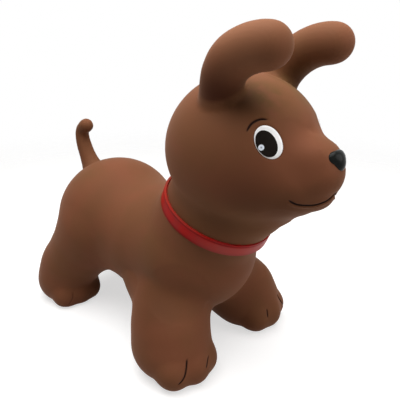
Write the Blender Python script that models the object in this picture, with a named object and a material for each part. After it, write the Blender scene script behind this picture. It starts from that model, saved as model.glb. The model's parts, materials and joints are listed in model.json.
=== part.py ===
"""Inflatable hop-on puppy: a hollow moulded skin with a collar, a nose, eyes and an air plug.

The puppy faces -Y, its right side is -X and its soles stand on Z = 0. Lengths are in metres.
"""

import math

import bmesh
import bpy
from mathutils import Matrix, Vector
from mathutils.bvhtree import BVHTree

# Stance: where the four paws stand, and how large they are
FRONT_TRACK = 0.200
HIND_TRACK = 0.186
FRONT_PAW_AHEAD = 0.135
HIND_PAW_BACK = 0.191
PAW_HALF_WIDTH = 0.063
PAW_HALF_LENGTH = 0.061
PAW_HALF_HEIGHT = 0.048
PAW_MIDDLE_HEIGHT = 0.036
HIND_PAW_HALF_WIDTH = 0.058
HIND_PAW_HALF_LENGTH = 0.058
TOE_RADIUS = 0.025
TOE_REACH = 0.036
TOE_SPREAD = 0.034
TOE_SETBACK = 0.008
TOE_HEIGHT = 0.026

# Legs: stubby tubes from the shoulders and the hips to the ankles
HIP_HEIGHT = 0.1565
HIP_OUT = 0.060
HIP_BACK = 0.120
HIND_LEG_RADIUS = 0.057
SHOULDER_DROP = 0.034
SHOULDER_OUT = 0.034
SHOULDER_AHEAD = 0.060
LEG_RADIUS = 0.065
ANKLE_HEIGHT = 0.050
ANKLE_BEHIND_PAW = 0.002
LEG_ROUTE_SHARES = ((0.0, 0.0), (0.60, 0.58), (1.0, 1.0))
LEG_THICKNESS_SHARES = (0.88, 0.97, 1.00)
HIND_LEG_THICKNESS_SHARES = (1.10, 1.00, 0.95)

# Torso: rump, belly and chest ride on the hips, and the neck rides on the chest
RUMP_BACK = 0.118
RUMP_RISE = 0.018
RUMP_HALF_WIDTH = 0.118
RUMP_HALF_LENGTH = 0.113
RUMP_HALF_HEIGHT = 0.112
BELLY_RISE = 0.005
BELLY_HALF_WIDTH = 0.102
BELLY_HALF_LENGTH = 0.125
BELLY_HALF_HEIGHT = 0.100
CHEST_AHEAD = 0.096
CHEST_RISE = 0.013
CHEST_HALF_WIDTH = 0.106
CHEST_HALF_LENGTH = 0.098
CHEST_HALF_HEIGHT = 0.104
NECK_REACH = 0.044
NECK_RISE = 0.081
NECK_HALF_WIDTH = 0.086
NECK_HALF_LENGTH = 0.094
NECK_HALF_HEIGHT = 0.076

# Head: a skull over the neck, a bridge and cheeks that taper to the lip, the chin and the throat
HEAD_REACH = 0.048
HEAD_RISE = 0.109
HEAD_HALF_WIDTH = 0.112
HEAD_HALF_LENGTH = 0.114
HEAD_HALF_HEIGHT = 0.109
CHEEK_REACH = 0.062
CHEEK_DROP = 0.027
CHEEK_HALF_WIDTH = 0.066
CHEEK_HALF_LENGTH = 0.082
CHEEK_HALF_HEIGHT = 0.056
LIP_REACH = 0.120
LIP_DROP = 0.008
LIP_HALF_WIDTH = 0.034
LIP_HALF_LENGTH = 0.034
LIP_HALF_HEIGHT = 0.033
BRIDGE_REACH = 0.106
BRIDGE_RISE = 0.014
BRIDGE_HALF_WIDTH = 0.032
BRIDGE_HALF_LENGTH = 0.032
BRIDGE_HALF_HEIGHT = 0.020
CHIN_DROP = 0.032
CHIN_SETBACK = 0.000
CHIN_HALF_WIDTH = 0.026
CHIN_HALF_LENGTH = 0.022
CHIN_HALF_HEIGHT = 0.016
THROAT_REACH = 0.064
THROAT_RISE = 0.014
THROAT_HALF_WIDTH = 0.048
THROAT_HALF_LENGTH = 0.047
THROAT_HALF_HEIGHT = 0.040

# Ears: horn-shaped grips on the head that rise, curl forward and end in a round tip
EAR_RADIUS = 0.0285
EAR_BASE_OUT = 0.049
EAR_BASE_REACH = 0.006
EAR_BASE_RISE = 0.060
EAR_FLARE = 0.027
EAR_REACH = 0.092
EAR_RISE = 0.086
EAR_ROUTE_SHARES = (
    (0.0, 0.0, 0.0),
    (0.72, 0.08, 0.44),
    (1.0, 0.33, 0.80),
    (1.0, 0.67, 0.97),
    (0.98, 1.0, 1.0),
)
EAR_THICKNESS_SHARES = (1.02, 0.95, 1.0, 0.98, 0.98)

# Tail: a short upright stub on the rump whose tip hooks forward
TAIL_RADIUS = 0.0145
TAIL_BASE_REACH = 0.072
TAIL_BASE_RISE = 0.067
TAIL_RISE = 0.100
TAIL_SWING = 0.035
TAIL_ROUTE_SHARES = ((0.0, 0.0), (0.63, 0.35), (1.0, 0.65), (1.0, 0.87), (0.51, 1.0))
TAIL_THICKNESS_SHARES = (1.5, 1.14, 1.0, 0.9, 0.97)

# Skin: soft PVC moulded in one piece, open only at the air hole
WALL = 0.0028
GAP = 0.0003
MERGE_DISTANCE = 0.00001
OVERRUN = 0.020
OUTER_FACES = 4900
INNER_FACES = 3350
SMOOTH_ANGLE = math.radians(50.0)

# Growing the skin: blobs flow into each other, tight joins for firm ones and wide joins for soft ones
GROW_SCALE = 10.0
GROW_CELL = 0.005
GROW_LEVEL = 0.6
FIRM = 8.0
MIDDLING = 6.0
SOFT = 4.5
BEAD_SPACING_SHARE = 0.45
CURVE_STEPS = 24

# Collar: a raised band in a shallow groove round the neck
COLLAR_REACH = -0.004
COLLAR_RISE = 0.005
COLLAR_TILT = math.radians(25.0)
COLLAR_WIDTH = 0.016
COLLAR_PROUD = 0.0025
COLLAR_SEAT = 0.0010
COLLAR_STEPS = 64
COLLAR_SMOOTHING = 3
COLLAR_PROFILE_SHARES = ((-0.5, 0.55), (-0.36, 0.9), (0.0, 1.0), (0.36, 0.9), (0.5, 0.55))

# Nose: a domed button on the tip of the muzzle
NOSE_HALF_WIDTH = 0.0175
NOSE_HALF_HEIGHT = 0.0125
NOSE_HALF_DEPTH = 0.0120
NOSE_LIFT = math.radians(33.0)
NOSE_SINK = 0.002
NOSE_STEPS = 28

# Eyes: a white with the pupil let into it, and a highlight let into the pupil
EYE_TURN = math.radians(35.8)
EYE_LIFT = math.radians(17.6)
EYE_ROLL = math.radians(-28.0)
EYE_HALF_WIDTH = 0.0165
EYE_HALF_HEIGHT = 0.0215
EYE_THICKNESS = 0.0009
PUPIL_HALF_WIDTH = 0.0124
PUPIL_HALF_HEIGHT = 0.0171
PUPIL_SHIFT_OUT = 0.0033
PUPIL_DROP = 0.0002
HIGHLIGHT_RADIUS = 0.0036
HIGHLIGHT_SHIFT_OUT = 0.0112
HIGHLIGHT_DROP = 0.0008
EYE_STEPS = 32
EYE_RINGS = 4

# Air hole: a thick boss in the belly with a flat recess, closed by a ribbed plug
AIR_HOLE_RADIUS = 0.0050
AIR_BOSS_RADIUS = 0.019
AIR_BOSS_HEIGHT = 0.013
RECESS_RADIUS = 0.0135
RECESS_DEPTH = 0.0035
PLUG_HEAD_HEIGHT = 0.0026
PLUG_RIM_BEVEL = 0.0006
PLUG_SHANK_LENGTH = 0.017
PLUG_NOSE_LENGTH = 0.003
PLUG_RIB_HEIGHT = 0.0006
PLUG_RIB_COUNT = 3
PLUG_CLEARANCE = 0.0003
PULL_TAB_WIDTH = 0.010
PULL_TAB_DEPTH = 0.0012
PULL_TAB_THICKNESS = 0.0022
ROUND_STEPS = 32

SIDES = (("right", -1), ("left", 1))
SOFT_PVC_ROUGHNESS = 0.55


def place(out, ahead, height):
    """A point given by its distance to the left, ahead of the middle and above the floor."""
    return Vector((out, -ahead, height))


def clear_scene():
    for old in list(bpy.data.objects):
        bpy.data.objects.remove(old, do_unlink=True)


def material(name, colour, roughness, coat=0.0):
    made = bpy.data.materials.new(name)
    made.use_nodes = True
    shader = made.node_tree.nodes["Principled BSDF"]
    shader.inputs["Base Color"].default_value = (*colour, 1.0)
    shader.inputs["Roughness"].default_value = roughness
    shader.inputs["Metallic"].default_value = 0.0
    shader.inputs["Coat Weight"].default_value = coat
    return made


def add_object(name, mesh, finish, parent):
    made = bpy.data.objects.new(name, mesh)
    bpy.context.collection.objects.link(made)
    mesh.materials.clear()
    mesh.materials.append(finish)
    mesh.shade_smooth()
    mesh.set_sharp_from_angle(angle=SMOOTH_ANGLE)
    made.parent = parent
    return made


def add_helper(name, mesh):
    helper = bpy.data.objects.new(name, mesh)
    bpy.context.collection.objects.link(helper)
    helper.hide_render = True
    helper.display_type = "WIRE"
    return helper


def mesh_from(bm, name):
    """Turn a bmesh into a mesh with its doubles merged and its faces pointing out."""
    bmesh.ops.remove_doubles(bm, verts=bm.verts, dist=MERGE_DISTANCE)
    bmesh.ops.recalc_face_normals(bm, faces=bm.faces)
    mesh = bpy.data.meshes.new(name)
    bm.to_mesh(mesh)
    bm.free()
    return mesh


def applied(subject):
    """Replace an object's mesh with the mesh that its modifiers make, and drop the modifiers."""
    bpy.context.view_layer.update()
    graph = bpy.context.evaluated_depsgraph_get()
    result = bpy.data.meshes.new_from_object(subject.evaluated_get(graph), depsgraph=graph)
    subject.modifiers.clear()
    subject.data = result
    return subject


def cut(subject, cutter):
    """Take the cutter's solid away from the subject with an exact Boolean, and remove the cutter."""
    boolean = subject.modifiers.new("cut", "BOOLEAN")
    boolean.operation = "DIFFERENCE"
    boolean.solver = "EXACT"
    boolean.object = cutter
    applied(subject)
    bpy.data.objects.remove(cutter, do_unlink=True)


class Clay:
    """Blobs of a metaball that grow into one surface, given in real sizes less an inset."""

    def __init__(self, inset):
        self.inset = inset
        self.ball_data = bpy.data.metaballs.new("clay")
        self.ball_data.threshold = GROW_LEVEL
        self.ball_data.resolution = GROW_CELL * GROW_SCALE
        self.ball_data.render_resolution = GROW_CELL * GROW_SCALE
        self.body = bpy.data.objects.new("clay", self.ball_data)
        bpy.context.collection.objects.link(self.body)

    def blob(self, middle, half_sizes, firmness):
        """An ellipsoid that reaches its half sizes where nothing else is near."""
        reach = 1.0 / math.sqrt(1.0 - (GROW_LEVEL / firmness) ** (1 / 3))
        lump = self.ball_data.elements.new(type="ELLIPSOID")
        lump.co = middle * GROW_SCALE
        lump.radius = 1.0
        lump.size_x, lump.size_y, lump.size_z = (
            (half - self.inset) * reach * GROW_SCALE for half in half_sizes
        )
        lump.stiffness = firmness

    def bead(self, middle, influence, firmness):
        ball = self.ball_data.elements.new(type="BALL")
        ball.co = middle * GROW_SCALE
        ball.radius = influence * GROW_SCALE
        ball.stiffness = firmness

    def limb(self, route, radii, firmness=FIRM):
        """A row of close beads along a smooth route, whose surface keeps to the radii given."""
        row_sum = GROW_LEVEL * BEAD_SPACING_SHARE * 35 / (32 * firmness)
        reach = 1.0 / math.sqrt(1.0 - row_sum ** (1 / 3.5))
        travelled = 0.0
        next_bead = 0.0
        last = route[0]
        for point, radius in smooth_route(route, radii):
            travelled += (point - last).length
            last = point
            if travelled >= next_bead:
                self.bead(point, (radius - self.inset) * reach, firmness)
                next_bead = travelled + BEAD_SPACING_SHARE * radius * reach

    def harden(self, name):
        """The grown surface as a mesh at real size."""
        bpy.context.view_layer.update()
        graph = bpy.context.evaluated_depsgraph_get()
        mesh = bpy.data.meshes.new_from_object(self.body.evaluated_get(graph), depsgraph=graph)
        bpy.data.objects.remove(self.body, do_unlink=True)
        mesh.name = name
        mesh.transform(Matrix.Scale(1.0 / GROW_SCALE, 4))
        return mesh


def blend(values, share):
    """Catmull-Rom value between the two middle ones of four."""
    before, start, end, after = values
    return 0.5 * (
        2 * start
        + (end - before) * share
        + (2 * before - 5 * start + 4 * end - after) * share**2
        + (3 * start - before - 3 * end + after) * share**3
    )


def smooth_route(route, radii):
    """Points and radii along a smooth curve through the route's own points."""
    points = [route[0], *route, route[-1]]
    sizes = [radii[0], *radii, radii[-1]]
    for index in range(len(route) - 1):
        for step in range(CURVE_STEPS):
            share = step / CURVE_STEPS
            yield blend(points[index:index + 4], share), blend(sizes[index:index + 4], share)
    yield route[-1], radii[-1]


def neck_middle():
    return place(0, CHEST_AHEAD + NECK_REACH, HIP_HEIGHT + CHEST_RISE + NECK_RISE)


def head_middle():
    return neck_middle() + place(0, HEAD_REACH, HEAD_RISE)


def lip_middle():
    return head_middle() + place(0, LIP_REACH, -LIP_DROP)


def model_torso(clay):
    rump = place(0, -RUMP_BACK, HIP_HEIGHT + RUMP_RISE)
    belly = place(0, 0, HIP_HEIGHT + BELLY_RISE)
    chest = place(0, CHEST_AHEAD, HIP_HEIGHT + CHEST_RISE)
    clay.blob(rump, (RUMP_HALF_WIDTH, RUMP_HALF_LENGTH, RUMP_HALF_HEIGHT), FIRM)
    clay.blob(belly, (BELLY_HALF_WIDTH, BELLY_HALF_LENGTH, BELLY_HALF_HEIGHT), FIRM)
    clay.blob(chest, (CHEST_HALF_WIDTH, CHEST_HALF_LENGTH, CHEST_HALF_HEIGHT), FIRM)
    clay.blob(neck_middle(), (NECK_HALF_WIDTH, NECK_HALF_LENGTH, NECK_HALF_HEIGHT), MIDDLING)


def model_head(clay):
    cheeks = head_middle() + place(0, CHEEK_REACH, -CHEEK_DROP)
    clay.blob(head_middle(), (HEAD_HALF_WIDTH, HEAD_HALF_LENGTH, HEAD_HALF_HEIGHT), FIRM)
    clay.blob(cheeks, (CHEEK_HALF_WIDTH, CHEEK_HALF_LENGTH, CHEEK_HALF_HEIGHT), SOFT)
    clay.blob(lip_middle(), (LIP_HALF_WIDTH, LIP_HALF_LENGTH, LIP_HALF_HEIGHT), SOFT)
    bridge = head_middle() + place(0, BRIDGE_REACH, BRIDGE_RISE)
    clay.blob(bridge, (BRIDGE_HALF_WIDTH, BRIDGE_HALF_LENGTH, BRIDGE_HALF_HEIGHT), SOFT)
    chin = lip_middle() + place(0, -CHIN_SETBACK, -CHIN_DROP)
    clay.blob(chin, (CHIN_HALF_WIDTH, CHIN_HALF_LENGTH, CHIN_HALF_HEIGHT), SOFT)
    throat = neck_middle() + place(0, THROAT_REACH, THROAT_RISE)
    clay.blob(throat, (THROAT_HALF_WIDTH, THROAT_HALF_LENGTH, THROAT_HALF_HEIGHT), SOFT)


def model_leg(clay, top, paw, radii, paw_half_sizes):
    """A leg from its top to its paw, with three toes along the paw's front edge."""
    ankle = Vector((paw.x, paw.y + ANKLE_BEHIND_PAW, ANKLE_HEIGHT))
    route = []
    for out_share, down_share in LEG_ROUTE_SHARES:
        across = top.lerp(ankle, out_share)
        route.append(Vector((across.x, across.y, top.z + (ankle.z - top.z) * down_share)))
    clay.limb(route, radii)
    clay.blob(paw, paw_half_sizes, FIRM)
    for step in (-1, 0, 1):
        toe_ahead = TOE_REACH - abs(step) * TOE_SETBACK
        toe = Vector((paw.x + step * TOE_SPREAD, paw.y - toe_ahead, TOE_HEIGHT))
        clay.blob(toe, (TOE_RADIUS, TOE_RADIUS, TOE_RADIUS), FIRM)


def model_legs(clay):
    front_half = (PAW_HALF_WIDTH, PAW_HALF_LENGTH, PAW_HALF_HEIGHT)
    hind_half = (HIND_PAW_HALF_WIDTH, HIND_PAW_HALF_LENGTH, PAW_HALF_HEIGHT)
    front_radii = [LEG_RADIUS * share for share in LEG_THICKNESS_SHARES]
    hind_radii = [HIND_LEG_RADIUS * share for share in HIND_LEG_THICKNESS_SHARES]
    for _, side in SIDES:
        shoulder = place(side * SHOULDER_OUT, SHOULDER_AHEAD, HIP_HEIGHT - SHOULDER_DROP)
        front_paw = place(side * FRONT_TRACK / 2, FRONT_PAW_AHEAD, PAW_MIDDLE_HEIGHT)
        model_leg(clay, shoulder, front_paw, front_radii, front_half)
        hip = place(side * HIP_OUT, -HIP_BACK, HIP_HEIGHT)
        hind_paw = place(side * HIND_TRACK / 2, -HIND_PAW_BACK, PAW_MIDDLE_HEIGHT)
        model_leg(clay, hip, hind_paw, hind_radii, hind_half)


def model_ears(clay):
    for _, side in SIDES:
        root = head_middle() + place(side * EAR_BASE_OUT, EAR_BASE_REACH, EAR_BASE_RISE)
        route = []
        for flare_share, reach_share, rise_share in EAR_ROUTE_SHARES:
            step = place(side * EAR_FLARE * flare_share, EAR_REACH * reach_share, EAR_RISE * rise_share)
            route.append(root + step)
        clay.limb(route, [EAR_RADIUS * share for share in EAR_THICKNESS_SHARES])


def model_tail(clay):
    root = place(0, -RUMP_BACK - TAIL_BASE_REACH, HIP_HEIGHT + RUMP_RISE + TAIL_BASE_RISE)
    route = []
    for swing_share, rise_share in TAIL_ROUTE_SHARES:
        route.append(root + place(0, -TAIL_SWING * swing_share, TAIL_RISE * rise_share))
    clay.limb(route, [TAIL_RADIUS * share for share in TAIL_THICKNESS_SHARES])


def grow_form(inset, faces):
    """The whole animal as one closed mesh, every blob and limb thinner by the inset, soles not yet cut."""
    clay = Clay(inset)
    model_torso(clay)
    model_head(clay)
    model_legs(clay)
    model_ears(clay)
    model_tail(clay)
    form = add_helper("form", clay.harden("form"))
    form.data.calc_loop_triangles()
    decimate = form.modifiers.new("fewer_faces", "DECIMATE")
    decimate.ratio = faces / len(form.data.loop_triangles)
    decimate.use_collapse_triangulate = True
    mirror = form.modifiers.new("same_both_sides", "MIRROR")
    mirror.use_bisect_axis[0] = True
    mirror.merge_threshold = MERGE_DISTANCE
    return applied(form)


def block_below(height, span):
    """A block that takes away everything below a height."""
    bm = bmesh.new()
    bmesh.ops.create_cube(bm, size=1.0)
    bmesh.ops.scale(bm, vec=Vector((span, span, span)), verts=bm.verts)
    bmesh.ops.translate(bm, vec=Vector((0, 0, height - span / 2)), verts=bm.verts)
    return add_helper("floor_block", mesh_from(bm, "floor_block"))


def drum(name, middle, radius, low, high):
    """An upright round cutter or boss between two heights."""
    bm = bmesh.new()
    bmesh.ops.create_cone(
        bm, cap_ends=True, segments=ROUND_STEPS, radius1=radius, radius2=radius, depth=high - low,
        matrix=Matrix.Translation(Vector((middle.x, middle.y, (low + high) / 2))),
    )
    return add_helper(name, mesh_from(bm, name))


def surface_tree(mesh):
    corners = [vertex.co[:] for vertex in mesh.vertices]
    return BVHTree.FromPolygons(corners, [polygon.vertices[:] for polygon in mesh.polygons])


def collar_frame():
    """The collar's middle, its upward axis and its forward direction in its tilted plane."""
    middle = neck_middle() + place(0, COLLAR_REACH, COLLAR_RISE)
    axis = place(0, math.sin(COLLAR_TILT), math.cos(COLLAR_TILT))
    ahead = place(0, math.cos(COLLAR_TILT), -math.sin(COLLAR_TILT))
    return middle, axis, ahead


def neck_radii(tree):
    """How far the neck's surface lies from the collar's middle, all the way round."""
    middle, _, ahead = collar_frame()
    across = Vector((1, 0, 0))
    far = NECK_HALF_LENGTH + HEAD_HALF_LENGTH
    radii = []
    for step in range(COLLAR_STEPS):
        angle = 2 * math.pi * step / COLLAR_STEPS
        outward = ahead * math.cos(angle) + across * math.sin(angle)
        hit = tree.ray_cast(middle, outward, far)[0]
        radii.append((hit - middle).length if hit else far)
    for _ in range(COLLAR_SMOOTHING):
        radii = [
            (radii[step - 1] + 2 * radii[step] + radii[(step + 1) % COLLAR_STEPS]) / 4
            for step in range(COLLAR_STEPS)
        ]
    return radii


def collar_band(name, radii, clearance):
    """The band's solid: a domed strip that follows the neck, grown by a clearance for its groove."""
    middle, axis, ahead = collar_frame()
    across = Vector((1, 0, 0))
    inner = -COLLAR_SEAT - clearance
    half = COLLAR_WIDTH / 2 + clearance
    profile = [(-half, inner), (half, inner)]
    for along_share, proud_share in reversed(COLLAR_PROFILE_SHARES):
        profile.append((2 * half * along_share, (COLLAR_PROUD + clearance) * proud_share))
    bm = bmesh.new()
    rings = []
    for step, radius in enumerate(radii):
        angle = 2 * math.pi * step / COLLAR_STEPS
        outward = ahead * math.cos(angle) + across * math.sin(angle)
        ring = [middle + axis * along + outward * (radius + rise) for along, rise in profile]
        rings.append([bm.verts.new(corner) for corner in ring])
    for step in range(COLLAR_STEPS):
        here, there = rings[step - 1], rings[step]
        for side in range(len(profile)):
            bm.faces.new((here[side - 1], there[side - 1], there[side], here[side]))
    return mesh_from(bm, name)


def skin_solid(outside, radii, air_hole):
    """The hollow skin: flat soles, a wall all over, the collar's groove and the air hole."""
    span = 2 * (head_middle().z + RUMP_BACK + RUMP_HALF_LENGTH)
    skin = add_helper("skin_outside", outside.copy())
    cut(skin, block_below(0.0, span))
    cavity = grow_form(WALL, INNER_FACES)
    cut(cavity, block_below(WALL, span))
    boss_foot = air_hole.z - OVERRUN
    boss_top = air_hole.z + AIR_BOSS_HEIGHT
    cut(cavity, drum("air_boss", air_hole, AIR_BOSS_RADIUS, boss_foot, boss_top))
    cut(skin, cavity)
    cut(skin, drum("recess", air_hole, RECESS_RADIUS, boss_foot, air_hole.z + RECESS_DEPTH))
    cut(skin, drum("air_hole", air_hole, AIR_HOLE_RADIUS, boss_foot, boss_top + OVERRUN))
    cut(skin, add_helper("collar_groove", collar_band("collar_groove", radii, GAP)))
    return skin


def nose_mesh(tree, outside):
    """A domed button whose back follows the muzzle at the usual gap."""
    facing = place(0, math.cos(NOSE_LIFT), math.sin(NOSE_LIFT))
    reach = LIP_HALF_LENGTH + NOSE_HALF_DEPTH + CHEEK_HALF_LENGTH
    seat = tree.ray_cast(lip_middle() + facing * reach, -facing, reach)[0]
    upward = facing.cross(Vector((1, 0, 0)))
    turn = Matrix((Vector((1, 0, 0)), upward, facing)).transposed().to_4x4()
    bm = bmesh.new()
    bmesh.ops.create_uvsphere(bm, u_segments=NOSE_STEPS, v_segments=NOSE_STEPS // 2, radius=1.0)
    half = Matrix.Diagonal((NOSE_HALF_WIDTH, NOSE_HALF_HEIGHT, NOSE_HALF_DEPTH, 1.0))
    bm.transform(Matrix.Translation(seat - facing * NOSE_SINK) @ turn @ half)
    button = add_helper("nose_button", mesh_from(bm, "nose_button"))
    muzzle = add_helper("muzzle", outside.copy())
    muzzle.location = facing * GAP
    cut(button, muzzle)
    mesh = button.data
    bpy.data.objects.remove(button, do_unlink=True)
    return mesh


def eye_frame(side):
    """The middle of the head, and the eye's outward, sideways and upward directions."""
    facing = place(
        side * math.sin(EYE_TURN) * math.cos(EYE_LIFT),
        math.cos(EYE_TURN) * math.cos(EYE_LIFT),
        math.sin(EYE_LIFT),
    )
    outward = Vector((0, 0, 1)).cross(facing).normalized() * side
    upward = Vector((0, 0, 1)) - facing * facing.z
    upward.normalize()
    roll = Matrix.Rotation(EYE_ROLL * side, 3, facing)
    return head_middle(), facing, roll @ outward, roll @ upward


def oval(half_width, half_height, shift_out, drop):
    """A function that gives an oval's point at an angle, in the eye's own plane."""
    def point(angle):
        return (shift_out + half_width * math.cos(angle), half_height * math.sin(angle) - drop)
    return point


def layer_mesh(name, tree, side, outer, inner):
    """A thin layer on the head between two ovals, or filled to the middle of the outer one."""
    head, facing, outward, upward = eye_frame(side)
    far = 2 * HEAD_HALF_LENGTH

    def lifted(point, height):
        start = head + outward * point[0] + upward * point[1] + facing * far
        spot, normal = tree.ray_cast(start, -facing, far)[:2]
        return spot + normal * height

    bm = bmesh.new()
    loops = {GAP: [], GAP + EYE_THICKNESS: []}
    for height, rows in loops.items():
        for ring in range(EYE_RINGS + 1):
            share = ring / EYE_RINGS
            row = []
            for step in range(EYE_STEPS):
                angle = 2 * math.pi * step / EYE_STEPS
                near, edge = inner(angle), outer(angle)
                spot = (near[0] + (edge[0] - near[0]) * share, near[1] + (edge[1] - near[1]) * share)
                row.append(bm.verts.new(lifted(spot, height)))
            rows.append(row)
    low, high = loops.values()
    for rows in (low, high):
        for near, edge in zip(rows, rows[1:]):
            for step in range(EYE_STEPS):
                bm.faces.new((near[step - 1], near[step], edge[step], edge[step - 1]))
    for rim in (0, EYE_RINGS):
        for step in range(EYE_STEPS):
            bm.faces.new((low[rim][step - 1], low[rim][step], high[rim][step], high[rim][step - 1]))
    bmesh.ops.remove_doubles(bm, verts=bm.verts, dist=MERGE_DISTANCE)
    flat = [face for face in bm.faces if face.calc_area() < MERGE_DISTANCE**2]
    bmesh.ops.delete(bm, geom=flat, context="FACES")
    return mesh_from(bm, name)


def add_eyes(tree, white, black, parent):
    """Both eyes: each part lies beside its neighbour with the usual gap between them."""
    for name, side in SIDES:
        white_edge = oval(EYE_HALF_WIDTH, EYE_HALF_HEIGHT, 0.0, 0.0)
        pupil_seat = oval(PUPIL_HALF_WIDTH + GAP, PUPIL_HALF_HEIGHT + GAP, PUPIL_SHIFT_OUT, PUPIL_DROP)
        pupil_edge = oval(PUPIL_HALF_WIDTH, PUPIL_HALF_HEIGHT, PUPIL_SHIFT_OUT, PUPIL_DROP)
        dot_seat = oval(HIGHLIGHT_RADIUS + GAP, HIGHLIGHT_RADIUS + GAP, HIGHLIGHT_SHIFT_OUT, HIGHLIGHT_DROP)
        dot_edge = oval(HIGHLIGHT_RADIUS, HIGHLIGHT_RADIUS, HIGHLIGHT_SHIFT_OUT, HIGHLIGHT_DROP)
        dot_middle = oval(0.0, 0.0, HIGHLIGHT_SHIFT_OUT, HIGHLIGHT_DROP)
        layers = (
            (f"eye_white_{name}", white_edge, pupil_seat, white),
            (f"eye_pupil_{name}", pupil_edge, dot_seat, black),
            (f"eye_highlight_{name}", dot_edge, dot_middle, white),
        )
        for layer, outer, inner, finish in layers:
            add_object(layer, layer_mesh(layer, tree, side, outer, inner), finish, parent)


def plug_profile():
    """Half of the air plug's outline, from its nose inside the puppy down to its head's face."""
    head_radius = RECESS_RADIUS - PLUG_CLEARANCE
    rib_radius = AIR_HOLE_RADIUS - PLUG_CLEARANCE
    shank_radius = rib_radius - PLUG_RIB_HEIGHT
    pitch = (PLUG_SHANK_LENGTH - PLUG_NOSE_LENGTH) / (PLUG_RIB_COUNT + 1)
    points = [(0.0, PLUG_SHANK_LENGTH), (shank_radius / 2, PLUG_SHANK_LENGTH)]
    points.append((shank_radius, PLUG_SHANK_LENGTH - PLUG_NOSE_LENGTH))
    for rib in range(PLUG_RIB_COUNT, 0, -1):
        height = pitch * rib
        points.append((shank_radius, height + PLUG_RIB_HEIGHT))
        points.append((rib_radius, height))
        points.append((shank_radius, height - PLUG_RIB_HEIGHT))
    points.append((shank_radius, 0.0))
    points.append((head_radius - PLUG_RIM_BEVEL, 0.0))
    points.append((head_radius, -PLUG_RIM_BEVEL))
    points.append((head_radius, PLUG_RIM_BEVEL - PLUG_HEAD_HEIGHT))
    points.append((head_radius - PLUG_RIM_BEVEL, -PLUG_HEAD_HEIGHT))
    points.append((0.0, -PLUG_HEAD_HEIGHT))
    return points


def plug_mesh():
    """The air plug turned from its profile, with two finger notches in its face."""
    bm = bmesh.new()
    corners = [bm.verts.new((radius, 0, height)) for radius, height in plug_profile()]
    edges = [bm.edges.new(pair) for pair in zip(corners, corners[1:])]
    bmesh.ops.spin(
        bm, geom=corners + edges, cent=(0, 0, 0), axis=(0, 0, 1), angle=2 * math.pi, steps=ROUND_STEPS,
    )
    turned = add_helper("plug_blank", mesh_from(bm, "plug_blank"))
    notch_offset = PULL_TAB_THICKNESS / 2 + PULL_TAB_WIDTH / 4
    for side in (-1, 1):
        bm = bmesh.new()
        bmesh.ops.create_cube(bm, size=1.0)
        notch_size = Vector((PULL_TAB_WIDTH, PULL_TAB_WIDTH / 2, 2 * PULL_TAB_DEPTH))
        bmesh.ops.scale(bm, vec=notch_size, verts=bm.verts)
        bmesh.ops.translate(bm, vec=Vector((0, side * notch_offset, -PLUG_HEAD_HEIGHT)), verts=bm.verts)
        cut(turned, add_helper("notch", mesh_from(bm, "notch")))
    mesh = turned.data
    bpy.data.objects.remove(turned, do_unlink=True)
    return mesh


def build():
    clear_scene()
    brown = material("brown_soft_pvc", (0.150, 0.068, 0.040), SOFT_PVC_ROUGHNESS)
    red = material("red_soft_pvc", (0.420, 0.035, 0.025), 0.45)
    black = material("black_gloss", (0.010, 0.010, 0.010), 0.28, 0.3)
    white = material("white_gloss", (0.720, 0.720, 0.740), 0.35, 0.2)
    clear_plug = material("natural_pvc", (0.620, 0.600, 0.540), 0.40)

    puppy = bpy.data.objects.new("puppy", None)
    bpy.context.collection.objects.link(puppy)

    form = grow_form(0.0, OUTER_FACES)
    outside = form.data
    bpy.data.objects.remove(form, do_unlink=True)
    tree = surface_tree(outside)
    air_hole = tree.ray_cast(Vector((0, 0, -OVERRUN)), Vector((0, 0, 1)))[0]
    radii = neck_radii(tree)
    skin = skin_solid(outside, radii, air_hole)
    skin_mesh = skin.data
    bpy.data.objects.remove(skin, do_unlink=True)
    add_object("skin", skin_mesh, brown, puppy)
    add_object("collar", collar_band("collar", radii, 0.0), red, puppy)
    add_object("nose", nose_mesh(tree, outside), black, puppy)
    add_eyes(tree, white, black, puppy)
    plug = add_object("air_plug", plug_mesh(), clear_plug, puppy)
    plug.location = air_hole + Vector((0, 0, RECESS_DEPTH - GAP))

    bpy.context.view_layer.update()
    ends = [corner.co.y for made in puppy.children for corner in made.data.vertices]
    puppy.location.y = -(min(ends) + max(ends)) / 2
    print("length", round(max(ends) - min(ends), 4), "air hole height", round(air_hole.z, 4))


build()
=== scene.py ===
"""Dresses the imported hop-on puppy: its moulded skin, collar, nose, eyes, air plug and the stage.

Every piece is made in metres in the frame's own place, and the frame's nodes stay where they are.
"""

import json
import math
from contextlib import contextmanager

import bmesh
import bpy
from bpy.props import FloatProperty, FloatVectorProperty, IntProperty, PointerProperty
from bpy.types import Operator, Panel, PropertyGroup
from mathutils import Matrix, Vector
from mathutils.bvhtree import BVHTree
from mathutils.kdtree import KDTree


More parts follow.
